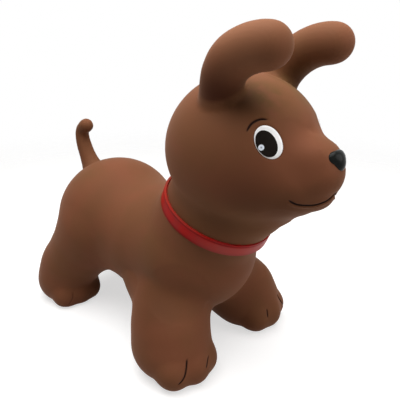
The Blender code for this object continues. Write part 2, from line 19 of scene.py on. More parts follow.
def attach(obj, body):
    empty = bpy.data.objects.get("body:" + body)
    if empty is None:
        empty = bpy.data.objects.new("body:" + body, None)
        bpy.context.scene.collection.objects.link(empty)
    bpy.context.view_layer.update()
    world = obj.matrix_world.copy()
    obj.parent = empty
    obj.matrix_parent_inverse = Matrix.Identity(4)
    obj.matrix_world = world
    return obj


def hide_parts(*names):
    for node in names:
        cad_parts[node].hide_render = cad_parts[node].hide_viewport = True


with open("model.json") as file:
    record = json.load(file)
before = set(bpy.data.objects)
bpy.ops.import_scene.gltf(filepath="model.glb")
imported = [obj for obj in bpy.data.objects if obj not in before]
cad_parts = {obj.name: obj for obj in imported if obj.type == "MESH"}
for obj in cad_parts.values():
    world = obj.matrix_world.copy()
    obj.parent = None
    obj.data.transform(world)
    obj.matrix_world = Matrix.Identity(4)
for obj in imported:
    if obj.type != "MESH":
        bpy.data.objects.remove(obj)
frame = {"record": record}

bl_info = {
    "name": "Hop-on puppy",
    "version": (1, 0, 0),
    "blender": (4, 5, 0),
    "location": "View3D > Sidebar > Puppy",
    "description": "Dresses an inflatable hop-on puppy over its packed model",
    "category": "Add Mesh",
}

# The air plug's joint marks the middle of the puppy's own design, from which all its sizes count
PLUG_JOINT = frame["record"]["behaviour"]["joints"][0]
PLUG_SEAT = Vector(PLUG_JOINT["pos_m"])
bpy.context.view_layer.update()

# Stance: where the four paws stand, and how large they are
FRONT_TRACK = 0.1992
HIND_TRACK = 0.1826
FRONT_PAW_AHEAD = 0.1338
HIND_PAW_BACK = 0.1907
PAW_HALF_SIZES = (0.0590, 0.0622, 0.0453)
HIND_PAW_HALF_SIZES = (0.0556, 0.0582, 0.0480)
PAW_MIDDLE_HEIGHT = 0.0367

# Toes from the inner to the outer: each one's step out and ahead of the paw's middle
FRONT_TOES = ((-0.0233, 0.0385), (0.0, 0.0440), (0.0285, 0.0323))
HIND_TOES = ((-0.0213, 0.0385), (0.0, 0.0411), (0.0235, 0.0344))
FRONT_TOE_RADIUS = 0.0284
HIND_TOE_RADIUS = 0.0272
FRONT_TOE_HEIGHT = 0.0265
HIND_TOE_HEIGHT = 0.0218
TOE_GROOVE_FOOT = 0.0042

# Legs: stubby tubes from the shoulders and the hips to the ankles
HIP_HEIGHT = 0.1565
HIP_OUT = 0.060
HIP_BACK = 0.120
HIND_LEG_RADIUS = 0.0600
SHOULDER_DROP = 0.034
SHOULDER_OUT = 0.034
SHOULDER_AHEAD = 0.060
LEG_RADIUS = 0.0662
ANKLE_HEIGHT = 0.050
ANKLE_BEHIND_PAW = 0.002
LEG_ROUTE_SHARES = ((0.0, 0.0), (0.60, 0.58), (1.0, 1.0))
LEG_THICKNESS_SHARES = (0.88, 0.97, 1.00)
HIND_LEG_THICKNESS_SHARES = (1.08, 1.00, 0.98)

# How the blobs join: tight joins for firm ones and wide joins for soft ones
FIRM = 8.0
MIDDLING = 6.0
SOFT = 4.5

# Torso and head: what each blob rides on, its step ahead and up from there, its half sizes and its firmness
HEAD_HALF_SIZES = (0.112, 0.114, 0.109)
NECK_HALF_SIZES = (0.086, 0.094, 0.076)
LIP_HALF_SIZES = (0.034, 0.034, 0.033)
BLOBS = {
    "rump": ("hips", -0.118, 0.018, (0.118, 0.113, 0.112), FIRM),
    "belly": ("hips", 0.0, 0.0032, (0.102, 0.125, 0.100), FIRM),
    "chest": ("hips", 0.096, 0.013, (0.106, 0.101, 0.104), FIRM),
    "neck": ("chest", 0.044, 0.081, NECK_HALF_SIZES, MIDDLING),
    "head": ("neck", 0.048, 0.109, HEAD_HALF_SIZES, FIRM),
    "cheeks": ("head", 0.062, -0.0260, (0.066, 0.082, 0.056), SOFT),
    "lip": ("head", 0.120, -0.008, LIP_HALF_SIZES, SOFT),
    "bridge": ("head", 0.106, 0.0122, (0.040, 0.036, 0.022), SOFT),
    "chin": ("lip", 0.0, -0.0330, (0.0248, 0.0219, 0.0183), SOFT),
    "throat": ("neck", 0.0661, 0.0219, (0.0483, 0.0537, 0.0385), SOFT),
    "jaw": ("neck", 0.1013, 0.0342, (0.0340, 0.0362, 0.0256), SOFT),
}

# A soft fill on each side where the belly meets the front leg
FLANK_OUT = 0.0786
FLANK_AHEAD = 0.0417
FLANK_HEIGHT = 0.1065
FLANK_HALF_SIZES = (0.0271, 0.0362, 0.0328)

# Ears: horn-shaped grips on the head that rise, curl forward and end in a round tip
EAR_RADIUS = 0.0285
EAR_BASE_OUT = 0.049
EAR_BASE_REACH = 0.006
EAR_BASE_RISE = 0.060
EAR_FLARE = 0.027
EAR_REACH = 0.0912
EAR_RISE = 0.0850
EAR_ROUTE_SHARES = (
    (0.0, 0.0, 0.0),
    (0.72, 0.08, 0.44),
    (1.0, 0.33, 0.80),
    (1.0, 0.67, 0.97),
    (0.98, 1.0, 1.0),
)
EAR_THICKNESS_SHARES = (1.02, 0.96, 1.02, 1.01, 0.96)

# Tail: a short upright stub on the rump whose tip hooks forward
TAIL_RADIUS = 0.0145
TAIL_BASE_REACH = 0.072
TAIL_BASE_RISE = 0.067
TAIL_RISE = 0.100
TAIL_SWING = 0.035
TAIL_ROUTE_SHARES = ((0.0, 0.0), (0.63, 0.35), (1.0, 0.65), (1.0, 0.87), (0.51, 1.0))
TAIL_THICKNESS_SHARES = (1.5, 1.14, 1.0, 0.9, 0.97)

# Growing the skin, and how a metaball's strength falls off round one blob and round a close row of beads
GROW_SCALE = 10.0
GROW_LEVEL = 0.6
BEAD_SPACING_SHARE = 0.45
BLOB_FALLOFF = 3
ROW_FALLOFF = 3.5
ROW_STRENGTH = 32 / 35
CURVE_STEPS = 24
MERGE_DISTANCE = 0.00001
SMOOTH_SHARE = 0.5
SMOOTH_ANGLE = math.radians(40.0)

# Where inner corners are rubbed down, as steps from the head's middle, and how far each one reaches: beside
# the bridge, in front of it, under the jaw, where the front legs leave the chest and behind their tops
SOFT_SPOTS = (
    ((0.035, 0.100, 0.027), 0.034),
    ((0.040, 0.122, 0.006), 0.026),
    ((0.034, 0.088, -0.078), 0.034),
    ((0.062, 0.056, -0.086), 0.030),
    ((0.088, -0.048, -0.222), 0.050),
    ((0.079, -0.146, -0.253), 0.040),
)
SOFT_ROUNDS = 45

# Grooves moulded into the skin, as steps out, ahead and up from what carries them
MOUTH_ROUTE = (
    (0.0545, 0.1117, -0.0370),
    (0.0523, 0.1134, -0.0381),
    (0.0434, 0.1199, -0.0443),
    (0.0293, 0.1304, -0.0469),
    (0.0178, 0.1406, -0.0441),
    (0.0077, 0.1458, -0.0395),
    (0.0, 0.1495, -0.0325),
)
EYELID_ROUTE = (
    (0.0805, 0.0640, 0.0445),
    (0.0755, 0.0648, 0.0513),
    (0.0714, 0.0660, 0.0554),
    (0.0657, 0.0691, 0.0586),
    (0.0606, 0.0727, 0.0597),
    (0.0541, 0.0786, 0.0588),
)
EYE_RIM_MARGIN = 0.0006
EYE_RIM_STRENGTH = 0.34
OUTER_TOE_GROOVE = (
    (0.0209, 0.0540, 0.0598),
    (0.0226, 0.0551, 0.0557),
    (0.0263, 0.0575, 0.0465),
    (0.0321, 0.0599, 0.0367),
    (0.0380, 0.0593, 0.0300),
    (0.0431, 0.0569, 0.0254),
    (0.0452, 0.0559, 0.0236),
)
RIGHT_INNER_TOE_GROOVE = (
    (-0.0191, 0.0624, 0.0473),
    (-0.0120, 0.0667, 0.0426),
    (-0.0055, 0.0704, 0.0375),
    (-0.0015, 0.0720, 0.0333),
)
LEFT_INNER_TOE_GROOVE = (
    (-0.0225, 0.0600, 0.0510),
    (-0.0210, 0.0617, 0.0479),
    (-0.0229, 0.0645, 0.0416),
    (-0.0242, 0.0670, 0.0329),
)
HIND_GROOVE_DROP = 0.020
HIND_GROOVE_STRENGTH = 0.40
GROOVE_STEP = 0.0005
GROOVE_REACH = 0.0075
FINE_EDGE = 0.0011
FINE_ROUNDS = 3
FINE_SMOOTHING = 12
QUAD_CORNERS = 4
TAPER_LENGTH = 0.010

# The lip above the mouth's groove: where it is highest, in half widths of the groove, and how softly it falls
LIP_CREST = 2.2
LIP_FALL = 1.5

# Painted shade, painted light and an olive tint on the skin: a spot on each side, as a step from the head's
# middle, and how far it spreads
# Painted shade in the crease where each ear rises from the head
EAR_ROOT_SHADE = ((0.0860, 0.0230, 0.0880), 0.037)
BROW_SHADE = ((0.0670, 0.0460, 0.0760), 0.024)
BROW_SIDE_SHADE = ((0.0770, 0.0360, 0.0770), 0.013)
FOREHEAD_PATCH = ((0.0400, 0.0590, 0.0855), 0.034)
# Painted light on the top of each ear
EAR_TOP_LIGHT = ((0.1020, 0.0580, 0.1560), 0.053)
# Painted shade under the cheeks, the jaw and the head, and the head's painted shadow on the tops of the front
# legs
CHEEK_SHADE = ((0.0760, 0.0720, -0.0400), 0.046)
NECK_SHADE = ((0.0780, 0.0220, -0.0860), 0.034)
JAW_SHADE = ((0.0500, 0.1020, -0.0560), 0.036)
LEG_TOP_SHADE = ((0.1270, -0.0640, -0.2440), 0.042)

# Where an ear counts as clear of the head, as shares of the way from the head's middle to its surface
EAR_EDGE_SHARES = (1.065, 1.115)

# Colours of that painted shade, light and tint, and of the narrower and wider bands in the collar's red: a
# brighter stripe, painted shadow under the rim, painted highlight on it and painted sheen at the front
EAR_LIGHT_BROWN = (0.265, 0.112, 0.058)
UNDERSIDE_SHADE_BROWN = (0.058, 0.021, 0.009)
OLIVE_BROWN = (0.110, 0.060, 0.018)
SHADE_BROWN = (0.050, 0.019, 0.007)
ROOT_SHADE_BROWN = (0.052, 0.013, 0.006)
STRIPE_RED = (0.480, 0.020, 0.016)
RIM_SHADOW_RED = (0.090, 0.004, 0.003)
RIM_HIGHLIGHT_RED = (0.500, 0.070, 0.045)
FRONT_SHEEN_RED = (0.420, 0.095, 0.080)

# Colours of the highlight painted on each pupil
HIGHLIGHT_WHITE = (0.80, 0.86, 0.96)
HIGHLIGHT_WORN = (0.76, 0.82, 0.94)
HIGHLIGHT_GREY = (0.16, 0.19, 0.25)

# Where the Mix node keeps its two numbers, its two colours and its mixed colour
MIX_NUMBERS = (2, 3)
MIX_COLOURS = (6, 7)
MIXED_COLOUR = 2

# What the node group of a finish puts out
FINISH_OUTPUTS = (
    ("Colour", "NodeSocketColor"), ("Roughness", "NodeSocketFloat"), ("Height", "NodeSocketFloat"))

# Collar: a moulded ledge round the neck, highest along its upper edge
COLLAR_REACH = -0.004
COLLAR_RISE = 0.0053
COLLAR_TILT = math.radians(25.0)
COLLAR_SEAT = 0.0030
COLLAR_STEPS = 144
COLLAR_SMOOTHING = 8
SPRAY_REACH = 0.006

# The collar's section off the skin, from its lower to its upper edge, in shares of its height and half width
COLLAR_SECTION = (
    (0.10, -1.00),
    (0.55, -0.86),
    (0.80, -0.60),
    (0.92, -0.20),
    (0.90, 0.30),
    (0.86, 0.72),
    (1.00, 0.90),
    (0.80, 1.00),
)

# Nose: a domed rounded triangle on the tip of the muzzle
NOSE_LIFT = math.radians(35.0)
NOSE_CORNER_SHARE = 0.16
NOSE_FULLNESS = 0.8
NOSE_RINGS = 20
NOSE_STEPS = 72

# Eyes: a white, a pupil on it and a highlight on the pupil
EYE_TURN = math.radians(36.3)
EYE_LIFT = math.radians(17.6)
EYE_ROLL = math.radians(-28.0)
EYE_HALF_SIZES = (0.0165, 0.0215)
EYE_STEPS = 72
EYE_RINGS = 14
EYE_BURIED = 0.0006
EYE_EDGE_POWER = 12

# The layers: half sizes, step outward and up, height of middle and edge in shares of the dome, and slot
EYE_LAYERS = {
    "white": (EYE_HALF_SIZES, (0.0, 0.0), (1.00, 0.20), "white_gloss"),
    "pupil": ((0.0124, 0.0173), (0.0034, -0.0002), (1.30, 1.12), "black_gloss"),
    "highlight": ((0.0036, 0.0036), (0.0117, -0.0006), (1.55, 1.40), "white_gloss"),
}

# Air hole and plug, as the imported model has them
AIR_HOLE_RADIUS = 0.0050
AIR_HOLE_DEPTH = 0.030
RECESS_RADIUS = 0.0135
RECESS_DEPTH = 0.0035
RECESS_CHAMFER = 0.0010
GAP = 0.0003
PLUG_CLEARANCE = 0.0003
PLUG_HEAD_HEIGHT = 0.0026
PLUG_RIM_ROUND = 0.0007
PLUG_SHANK_LENGTH = 0.017
PLUG_NOSE_LENGTH = 0.003
PLUG_RIB_HEIGHT = 0.0006
PLUG_RIB_COUNT = 3
PLUG_TIP_SHARES = (0.42, 0.60)
PLUG_TIP_DROP_SHARE = 0.12
PLUG_DISH_SHARES = (0.72, 0.69)
PLUG_RIM_STEPS = 4
PULL_TAB_WIDTH = 0.010
PULL_TAB_DEPTH = 0.0012
PULL_TAB_THICKNESS = 0.0022
ROUND_STEPS = 64
RING_STEPS = 12

# Stage
FLOOR_RADIUS = 3.0
FLOOR_FADE_SHARES = (0.22, 0.62)
FLOOR_GREYS = ((0.54, 0.54, 0.54, 1.0), (0.56, 0.56, 0.56, 1.0))
FLOOR_GLOW = 0.62
WHITE = (1.0, 1.0, 1.0, 1.0)
WARM_WHITE = (1.0, 0.86, 0.72, 1.0)
OVERHEAD_LIGHT_SIZE = 1.8
OVERHEAD_LIGHT_PLACE = (-0.15, 0.05, 1.60)
FRONT_LIGHT_SIZE = 1.0
FRONT_LIGHT_PLACE = (0.45, 1.3, 0.9)
SENSOR_WIDTH_MM = 36.0

SIDES = (("right", -1), ("left", 1))
ACROSS = Vector((1, 0, 0))


# Settings that a user may change

def length(label, description, default, low=0.0):
    return FloatProperty(name=label, description=description, default=default, min=low, unit="LENGTH")


def bearing(label, description, degrees):
    return FloatProperty(name=label, description=description, default=math.radians(degrees), subtype="ANGLE")


def amount(label, description, default, low=0.0):
    return FloatProperty(name=label, description=description, default=default, min=low)


def paint(label, description, default):
    return FloatVectorProperty(
        name=label, description=description, default=default, size=3, subtype="COLOR", min=0.0, max=1.0)


class PuppySkinSettings(PropertyGroup):
    cell: length("Cell", "Spacing of the grown skin's faces", 0.0036, 0.002)
    sole_round: length("Sole rounding", "Height over which a paw rounds into its flat sole", 0.0050, 0.001)
    groove_width: length("Groove width", "Half width of the moulded toe and mouth grooves", 0.0014, 0.0005)
    groove_depth: length("Groove depth", "Depth of the moulded toe and mouth grooves", 0.0017)
    lip_rise: length("Lip rise", "How far the lip stands proud above the mouth groove", 0.0009)


class PuppyTrimSettings(PropertyGroup):
    collar_width: length("Collar width", "Width of the collar along the neck", 0.0205, 0.005)
    collar_proud: length("Collar height", "How far the collar stands off the neck", 0.0030, 0.001)
    collar_rim: length("Collar rim", "Thickness of the bead along the collar's upper edge", 0.0007, 0.0003)
    nose_half_width: length("Nose half width", "Half of the nose across", 0.0165, 0.005)
    nose_half_height: length("Nose half height", "Half of the nose from top to bottom", 0.0130, 0.005)
    nose_dome: length("Nose dome", "How far the nose stands off the muzzle", 0.0065, 0.002)
    eye_dome: length("Eye dome", "How far the eye's white stands off the face", 0.0006, 0.0003)
    rib_count: IntProperty(
        name="Plug ribs", description="Number of sealing ribs on the air plug", default=PLUG_RIB_COUNT, min=1)


class PuppyColourSettings(PropertyGroup):
    skin: paint("Skin", "Moulded vinyl brown", (0.165, 0.066, 0.031))
    skin_warm: paint("Skin, warm patches", "Redder brown in the mottling", (0.192, 0.067, 0.034))
    skin_olive: paint("Skin, olive patches", "Greener brown in wide soft clouds", (0.128, 0.066, 0.024))
    groove: paint("Groove", "Dark brown in the bottom of a groove", (0.016, 0.006, 0.004))
    collar: paint("Collar", "Sprayed red", (0.425, 0.009, 0.007))
    black: paint("Black", "Nose and pupils", (0.006, 0.007, 0.006))
    white: paint("White", "Eye white", (0.960, 0.960, 0.970))
    plug: paint("Plug", "Natural vinyl of the air plug", (0.620, 0.590, 0.520))


class PuppyStageSettings(PropertyGroup):
    distance: length("Camera distance", "From the camera to the point it looks at", 0.805, 0.2)
    turn: bearing("Camera turn", "Turn of the camera from the puppy's front to its right side", 47.5)
    pitch: bearing("Camera pitch", "How steeply the camera looks down", 20.5)
    lens: amount("Lens", "Focal length for a 36 mm wide sensor, in millimetres", 40.5, 10.0)
    aim: FloatVectorProperty(
        name="Aim", description="Point that the camera looks at, out, ahead and up", size=3, subtype="XYZ",
        default=(0.043, 0.064, 0.2365), unit="LENGTH")
    key_power: amount("Key light", "Power of the large light overhead, in watts", 37.0)
    fill_power: amount("Fill light", "Power of the light at the front, in watts", 6.0)
    ambient: amount("Ambient", "Strength of the even light from all round", 0.105)


class PuppySettings(PropertyGroup):
    skin: PointerProperty(type=PuppySkinSettings)
    trim: PointerProperty(type=PuppyTrimSettings)
    colours: PointerProperty(type=PuppyColourSettings)
    stage: PointerProperty(type=PuppyStageSettings)


def settings():
    return bpy.context.scene.puppy


# Places and meshes

def place(out, ahead, height):
    """A point given by its distance to the left, ahead of the air plug and above the floor."""
    return Vector((out, PLUG_SEAT.y - ahead, height))


def step(out, ahead, up):
    """The same three directions as a step from one point to another."""
    return Vector((out, -ahead, up))


def link(name, data):
    made = bpy.data.objects.new(name, data)
    bpy.context.collection.objects.link(made)
    return made


def piece(name, mesh, finish, slot, *nodes):
    """A finished piece: it takes its material and stands for the nodes named."""
    made = link(name, mesh)
    mesh.materials.clear()
    mesh.materials.append(finish)
    mesh.shade_smooth()
    mesh.set_sharp_from_angle(angle=SMOOTH_ANGLE)
    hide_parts(*nodes)
    return made


def mesh_as_is(bm, name):
    mesh = bpy.data.meshes.new(name)
    bm.to_mesh(mesh)
    bm.free()
    return mesh


def mesh_from(bm, name):
    """Turn a bmesh into a mesh with its doubles merged and its faces pointing out."""
    bmesh.ops.remove_doubles(bm, verts=bm.verts, dist=MERGE_DISTANCE)
    bmesh.ops.recalc_face_normals(bm, faces=bm.faces)
    return mesh_as_is(bm, name)


@contextmanager
def reshaping(mesh):
    """A bmesh of the mesh to work on, which is written back to it at the end."""
    bm = bmesh.new()
    bm.from_mesh(mesh)
    yield bm
    bm.to_mesh(mesh)
    bm.free()


def smooth(bm, corners, rounds):
    for _ in range(rounds):
        bmesh.ops.smooth_vert(
            bm, verts=corners, factor=SMOOTH_SHARE, use_axis_x=True, use_axis_y=True, use_axis_z=True)


def turn_angles(steps):
    return [2 * math.pi * count / steps for count in range(steps)]


def edge_loop(points, name):
    """A mesh of one closed loop of edges through the points."""
    bm = bmesh.new()
    corners = [bm.verts.new(point) for point in points]
    for index in range(len(corners)):
        bm.edges.new((corners[index - 1], corners[index]))
    return mesh_as_is(bm, name)


def face_rows(bm, rows):
    """Faces from each closed row of corners to the next, and one over the last row."""
    for near, edge in zip(rows, rows[1:]):
        for count in range(len(near)):
            bm.faces.new((near[count - 1], near[count], edge[count], edge[count - 1]))
    bm.faces.new(rows[-1])


def keep_values(mesh, name, values):
    """Give each vertex its own value in the attribute named."""
    mesh.attributes.new(name, "FLOAT", "POINT").data.foreach_set("value", values)


def plain_mesh(subject):
    """The mesh that an object's modifiers make, and the object itself is removed."""
    bpy.context.view_layer.update()
    graph = bpy.context.evaluated_depsgraph_get()
    mesh = bpy.data.meshes.new_from_object(subject.evaluated_get(graph), depsgraph=graph)
    bpy.data.objects.remove(subject, do_unlink=True)
    return mesh


def surface_tree(mesh):
    corners = [vertex.co[:] for vertex in mesh.vertices]
    return BVHTree.FromPolygons(corners, [polygon.vertices[:] for polygon in mesh.polygons])


def blend(values, share):
    """Catmull-Rom value between the two middle ones of four."""
    before, start, end, after = values
    return 0.5 * (
        2 * start
        + (end - before) * share
        + (2 * before - 5 * start + 4 * end - after) * share**2
        + (3 * start - before - 3 * end + after) * share**3
    )


def smooth_route(route, radii):
    """Points and radii along a smooth curve through the route's own points."""
    points = [route[0], *route, route[-1]]
    sizes = [radii[0], *radii, radii[-1]]
    for index in range(len(route) - 1):
        for count in range(CURVE_STEPS):
            share = count / CURVE_STEPS
            yield blend(points[index:index + 4], share), blend(sizes[index:index + 4], share)
    yield route[-1], radii[-1]


# The grown skin

class Clay:
    """Blobs of a metaball that grow into one surface, given in real sizes."""

    def __init__(self, cell):
        self.ball_data = bpy.data.metaballs.new("clay")
        self.ball_data.threshold = GROW_LEVEL
        self.ball_data.resolution = cell * GROW_SCALE
        self.ball_data.render_resolution = cell * GROW_SCALE
        self.body = link("clay", self.ball_data)

    def blob(self, middle, half_sizes, firmness):
        """An ellipsoid that reaches its half sizes where nothing else is near."""
        reach = 1.0 / math.sqrt(1.0 - (GROW_LEVEL / firmness) ** (1 / BLOB_FALLOFF))
        lump = self.ball_data.elements.new(type="ELLIPSOID")
        lump.co = middle * GROW_SCALE
        lump.radius = 1.0
        lump.size_x, lump.size_y, lump.size_z = (half * reach * GROW_SCALE for half in half_sizes)
        lump.stiffness = firmness

    def bead(self, middle, influence, firmness):
        ball = self.ball_data.elements.new(type="BALL")
        ball.co = middle * GROW_SCALE
        ball.radius = influence * GROW_SCALE
        ball.stiffness = firmness

    def limb(self, route, radii, firmness=FIRM):
        """A row of close beads along a smooth route, whose surface keeps to the radii given."""
        level = GROW_LEVEL * BEAD_SPACING_SHARE / (ROW_STRENGTH * firmness)
        reach = 1.0 / math.sqrt(1.0 - level ** (1 / ROW_FALLOFF))
        travelled = next_bead = 0.0
        last = route[0]
        for point, radius in smooth_route(route, radii):
            travelled += (point - last).length
            last = point
            if travelled >= next_bead:
                self.bead(point, radius * reach, firmness)
                next_bead = travelled + BEAD_SPACING_SHARE * radius * reach

    def harden(self, name):
        """The grown surface as a mesh at real size."""
        mesh = plain_mesh(self.body)
        mesh.name = name
        mesh.transform(Matrix.Scale(1.0 / GROW_SCALE, 4))
        return mesh


def blob_middle(name):
    """The middle of a blob, or of the hips, which lie over the air plug."""
    if name == "hips":
        return place(0, 0, HIP_HEIGHT)
    carrier, ahead, up, *_ = BLOBS[name]
    return blob_middle(carrier) + step(0, ahead, up)


def head_step(out, ahead, up):
    """A point given by its step from the head's middle."""
    return blob_middle("head") + step(out, ahead, up)


def head_spots(spots):
    """Each spot on both sides, from its step from the head's middle, with how far it reaches."""
    return [
        (head_step(side * out, ahead, up), reach)
        for (out, ahead, up), reach in spots
        for _, side in SIDES
    ]


def head_route(side, steps):
    return [head_step(side * out, ahead, up) for out, ahead, up in steps]


def paw_middles():
    """Each paw's middle with its side and the top of its leg, its radii, its half sizes and its toes."""
    for _, side in SIDES:
        yield (
            side,
            place(side * FRONT_TRACK / 2, FRONT_PAW_AHEAD, PAW_MIDDLE_HEIGHT),
            place(side * SHOULDER_OUT, SHOULDER_AHEAD, HIP_HEIGHT - SHOULDER_DROP),
            [LEG_RADIUS * share for share in LEG_THICKNESS_SHARES],
            PAW_HALF_SIZES,
            (FRONT_TOES, FRONT_TOE_RADIUS, FRONT_TOE_HEIGHT),
        )
        yield (
            side,
            place(side * HIND_TRACK / 2, -HIND_PAW_BACK, PAW_MIDDLE_HEIGHT),
            place(side * HIP_OUT, -HIP_BACK, HIP_HEIGHT),
            [HIND_LEG_RADIUS * share for share in HIND_LEG_THICKNESS_SHARES],
            HIND_PAW_HALF_SIZES,
            (HIND_TOES, HIND_TOE_RADIUS, HIND_TOE_HEIGHT),
        )


def model_body(clay):
    """The torso and the head, with the soft fills at the flanks."""
    for name, (_, _, _, half_sizes, firmness) in BLOBS.items():
        clay.blob(blob_middle(name), half_sizes, firmness)
    for _, side in SIDES:
        clay.blob(place(side * FLANK_OUT, FLANK_AHEAD, FLANK_HEIGHT), FLANK_HALF_SIZES, SOFT)


def model_legs(clay):
    """Each leg from its top to its paw, with three toes along the paw's front edge."""
    for side, paw, top, radii, paw_half_sizes, (toes, toe_radius, toe_height) in paw_middles():
        ankle = Vector((paw.x, paw.y + ANKLE_BEHIND_PAW, ANKLE_HEIGHT))
        route = []
        for out_share, down_share in LEG_ROUTE_SHARES:
            across = top.lerp(ankle, out_share)
            route.append(Vector((across.x, across.y, top.z + (ankle.z - top.z) * down_share)))
        clay.limb(route, radii)
        clay.blob(paw, paw_half_sizes, FIRM)
        for out, ahead in toes:
            toe_step = step(side * out, ahead, toe_height - paw.z)
            clay.blob(paw + toe_step, (toe_radius, toe_radius, toe_radius), FIRM)


def model_ears(clay):
    for _, side in SIDES:
        root = head_step(side * EAR_BASE_OUT, EAR_BASE_REACH, EAR_BASE_RISE)
        route = []
        for flare_share, reach_share, rise_share in EAR_ROUTE_SHARES:
            along = step(side * EAR_FLARE * flare_share, EAR_REACH * reach_share, EAR_RISE * rise_share)
            route.append(root + along)
        clay.limb(route, [EAR_RADIUS * share for share in EAR_THICKNESS_SHARES])


def model_tail(clay):
    root = blob_middle("rump") + step(0, -TAIL_BASE_REACH, TAIL_BASE_RISE)
    route = []
    for swing_share, rise_share in TAIL_ROUTE_SHARES:
        route.append(root + step(0, -TAIL_SWING * swing_share, TAIL_RISE * rise_share))
    clay.limb(route, [TAIL_RADIUS * share for share in TAIL_THICKNESS_SHARES])


def grow_form(cell):
    """The whole animal's outer form as one closed mesh."""
    clay = Clay(cell)
    model_body(clay)
    model_legs(clay)
    model_ears(clay)
    model_tail(clay)
    return clay.harden("grown_form")


def soften(mesh):
    """Smooth the surface near each soft spot, as when a moulding tool's inner corner is rubbed down."""
    spots = head_spots(SOFT_SPOTS)
    with reshaping(mesh) as bm:
        near = [
            vertex for vertex in bm.verts if any((vertex.co - spot).length < reach for spot, reach in spots)]
        smooth(bm, near, SOFT_ROUNDS)


def flatten_soles(mesh, rounding):
    """Press what lies under the floor up into flat soles with softly rounded edges."""
    for vertex in mesh.vertices:
        if vertex.co.z < rounding:
            vertex.co.z = rounding * math.exp((vertex.co.z - rounding) / rounding)


# Grooves in the skin

class Groove:
    """Close samples along a moulded groove, each with its place, its side direction and its strength."""

    def __init__(self, tree, route, lip, tapers=(True, True), full=1.0):
        path = [tree.find_nearest(point)[0] for point, _ in smooth_route(route, [0.0] * len(route))]
        lengths = [0.0]
        for here, there in zip(path, path[1:]):
            lengths.append(lengths[-1] + (there - here).length)
        self.samples = []
        for here, there, start, end in zip(path, path[1:], lengths, lengths[1:]):
            if end - start < MERGE_DISTANCE:
                continue
            along = (there - here).normalized()
            count = max(1, math.ceil((end - start) / GROOVE_STEP))
            for index in range(count):
                share = index / count
                spot, normal = tree.find_nearest(here.lerp(there, share))[:2]
                run = start + (end - start) * share
                strength = 1.0
                if tapers[0]:
                    strength = min(strength, run / TAPER_LENGTH)
                if tapers[1]:
                    strength = min(strength, (lengths[-1] - run) / TAPER_LENGTH)
                sideways = normal.cross(along)
                self.samples.append((spot, sideways, full * math.sin(strength * math.pi / 2), lip))


def mouth_grooves(tree):
    """One line round the muzzle, made of a half on each side that meet under the nose."""
    for _, side in SIDES:
        yield Groove(tree, head_route(side, MOUTH_ROUTE), side, (True, False))


def eyelid_grooves(tree):
    for _, side in SIDES:
        yield Groove(tree, head_route(side, EYELID_ROUTE), 0)


def eye_rims(tree):
    """A faint moulded line round each eye's white."""
    for _, side in SIDES:
        facing, outward, upward = eye_axes(side)
        far = blob_middle("head") + facing * HEAD_HALF_SIZES[1] * 2
        route = []
        for angle in turn_angles(EYE_STEPS // 2) + [2 * math.pi]:
            sideways = (EYE_HALF_SIZES[0] + EYE_RIM_MARGIN) * math.cos(angle)
            up = (EYE_HALF_SIZES[1] + EYE_RIM_MARGIN) * math.sin(angle)
            route.append(tree.ray_cast(far + outward * sideways + upward * up, -facing)[0])
        yield Groove(tree, route, 0, (False, False), EYE_RIM_STRENGTH)


def toe_grooves(tree):
    for side, paw, *_ in paw_middles():
        foot = Vector((paw.x, paw.y, 0))
        hind = paw.y > PLUG_SEAT.y
        drop, strength = (HIND_GROOVE_DROP, HIND_GROOVE_STRENGTH) if hind else (0.0, 1.0)
        for line in (OUTER_TOE_GROOVE, RIGHT_INNER_TOE_GROOVE if side < 0 else LEFT_INNER_TOE_GROOVE):
            route = [
                foot + step(side * out, ahead, max(TOE_GROOVE_FOOT, up - drop)) for out, ahead, up in line]
            yield Groove(tree, route, 0, full=strength)


def refine_near(bm, lines):
    """Split the faces near the lines until they are fine, and smooth what was split."""
    for _ in range(FINE_ROUNDS):
        long_edges = []
        for edge in bm.edges:
            middle = (edge.verts[0].co + edge.verts[1].co) / 2
            if edge.calc_length() > FINE_EDGE and lines.find(middle)[2] < GROOVE_REACH:
                long_edges.append(edge)
        bmesh.ops.subdivide_edges(bm, edges=long_edges, cuts=1, use_grid_fill=True)
        bmesh.ops.triangulate(bm, faces=[face for face in bm.faces if len(face.verts) > QUAD_CORNERS])
    near = [vertex for vertex in bm.verts if lines.find(vertex.co)[2] < GROOVE_REACH]
    smooth(bm, near, FINE_SMOOTHING)


def carve(mesh, grooves, shape):
    """Press the grooves into the skin, and keep each vertex's depth in the attribute named groove."""
    samples = [sample for groove in grooves for sample in groove.samples]
    lines = KDTree(len(samples))
    for index, sample in enumerate(samples):
        lines.insert(sample[0], index)
    lines.balance()
    with reshaping(mesh) as bm:
        refine_near(bm, lines)
        bm.normal_update()
        depths = bm.verts.layers.float.new("groove")
        for vertex in bm.verts:
            spot, index, distance = lines.find(vertex.co)
            if distance > GROOVE_REACH:
                continue
            _, sideways, strength, lip = samples[index]
            pressed = math.exp(-(distance / shape.groove_width) ** 2) * strength
            vertex[depths] = pressed
            move = -shape.groove_depth * pressed
            above = (vertex.co - spot).dot(sideways) * lip / shape.groove_width
            if above > 0:
                move += shape.lip_rise * strength * math.exp(-(above - LIP_CREST) ** 2 / LIP_FALL)
            vertex.co += vertex.normal * move


# The collar's course round the neck

def collar_axes():
    """The collar's middle, its upward axis and its forward direction in its tilted plane."""
    middle = blob_middle("neck") + step(0, COLLAR_REACH, COLLAR_RISE)
    axis = step(0, math.sin(COLLAR_TILT), math.cos(COLLAR_TILT))
    ahead = step(0, math.cos(COLLAR_TILT), -math.sin(COLLAR_TILT))
    return middle, axis, ahead


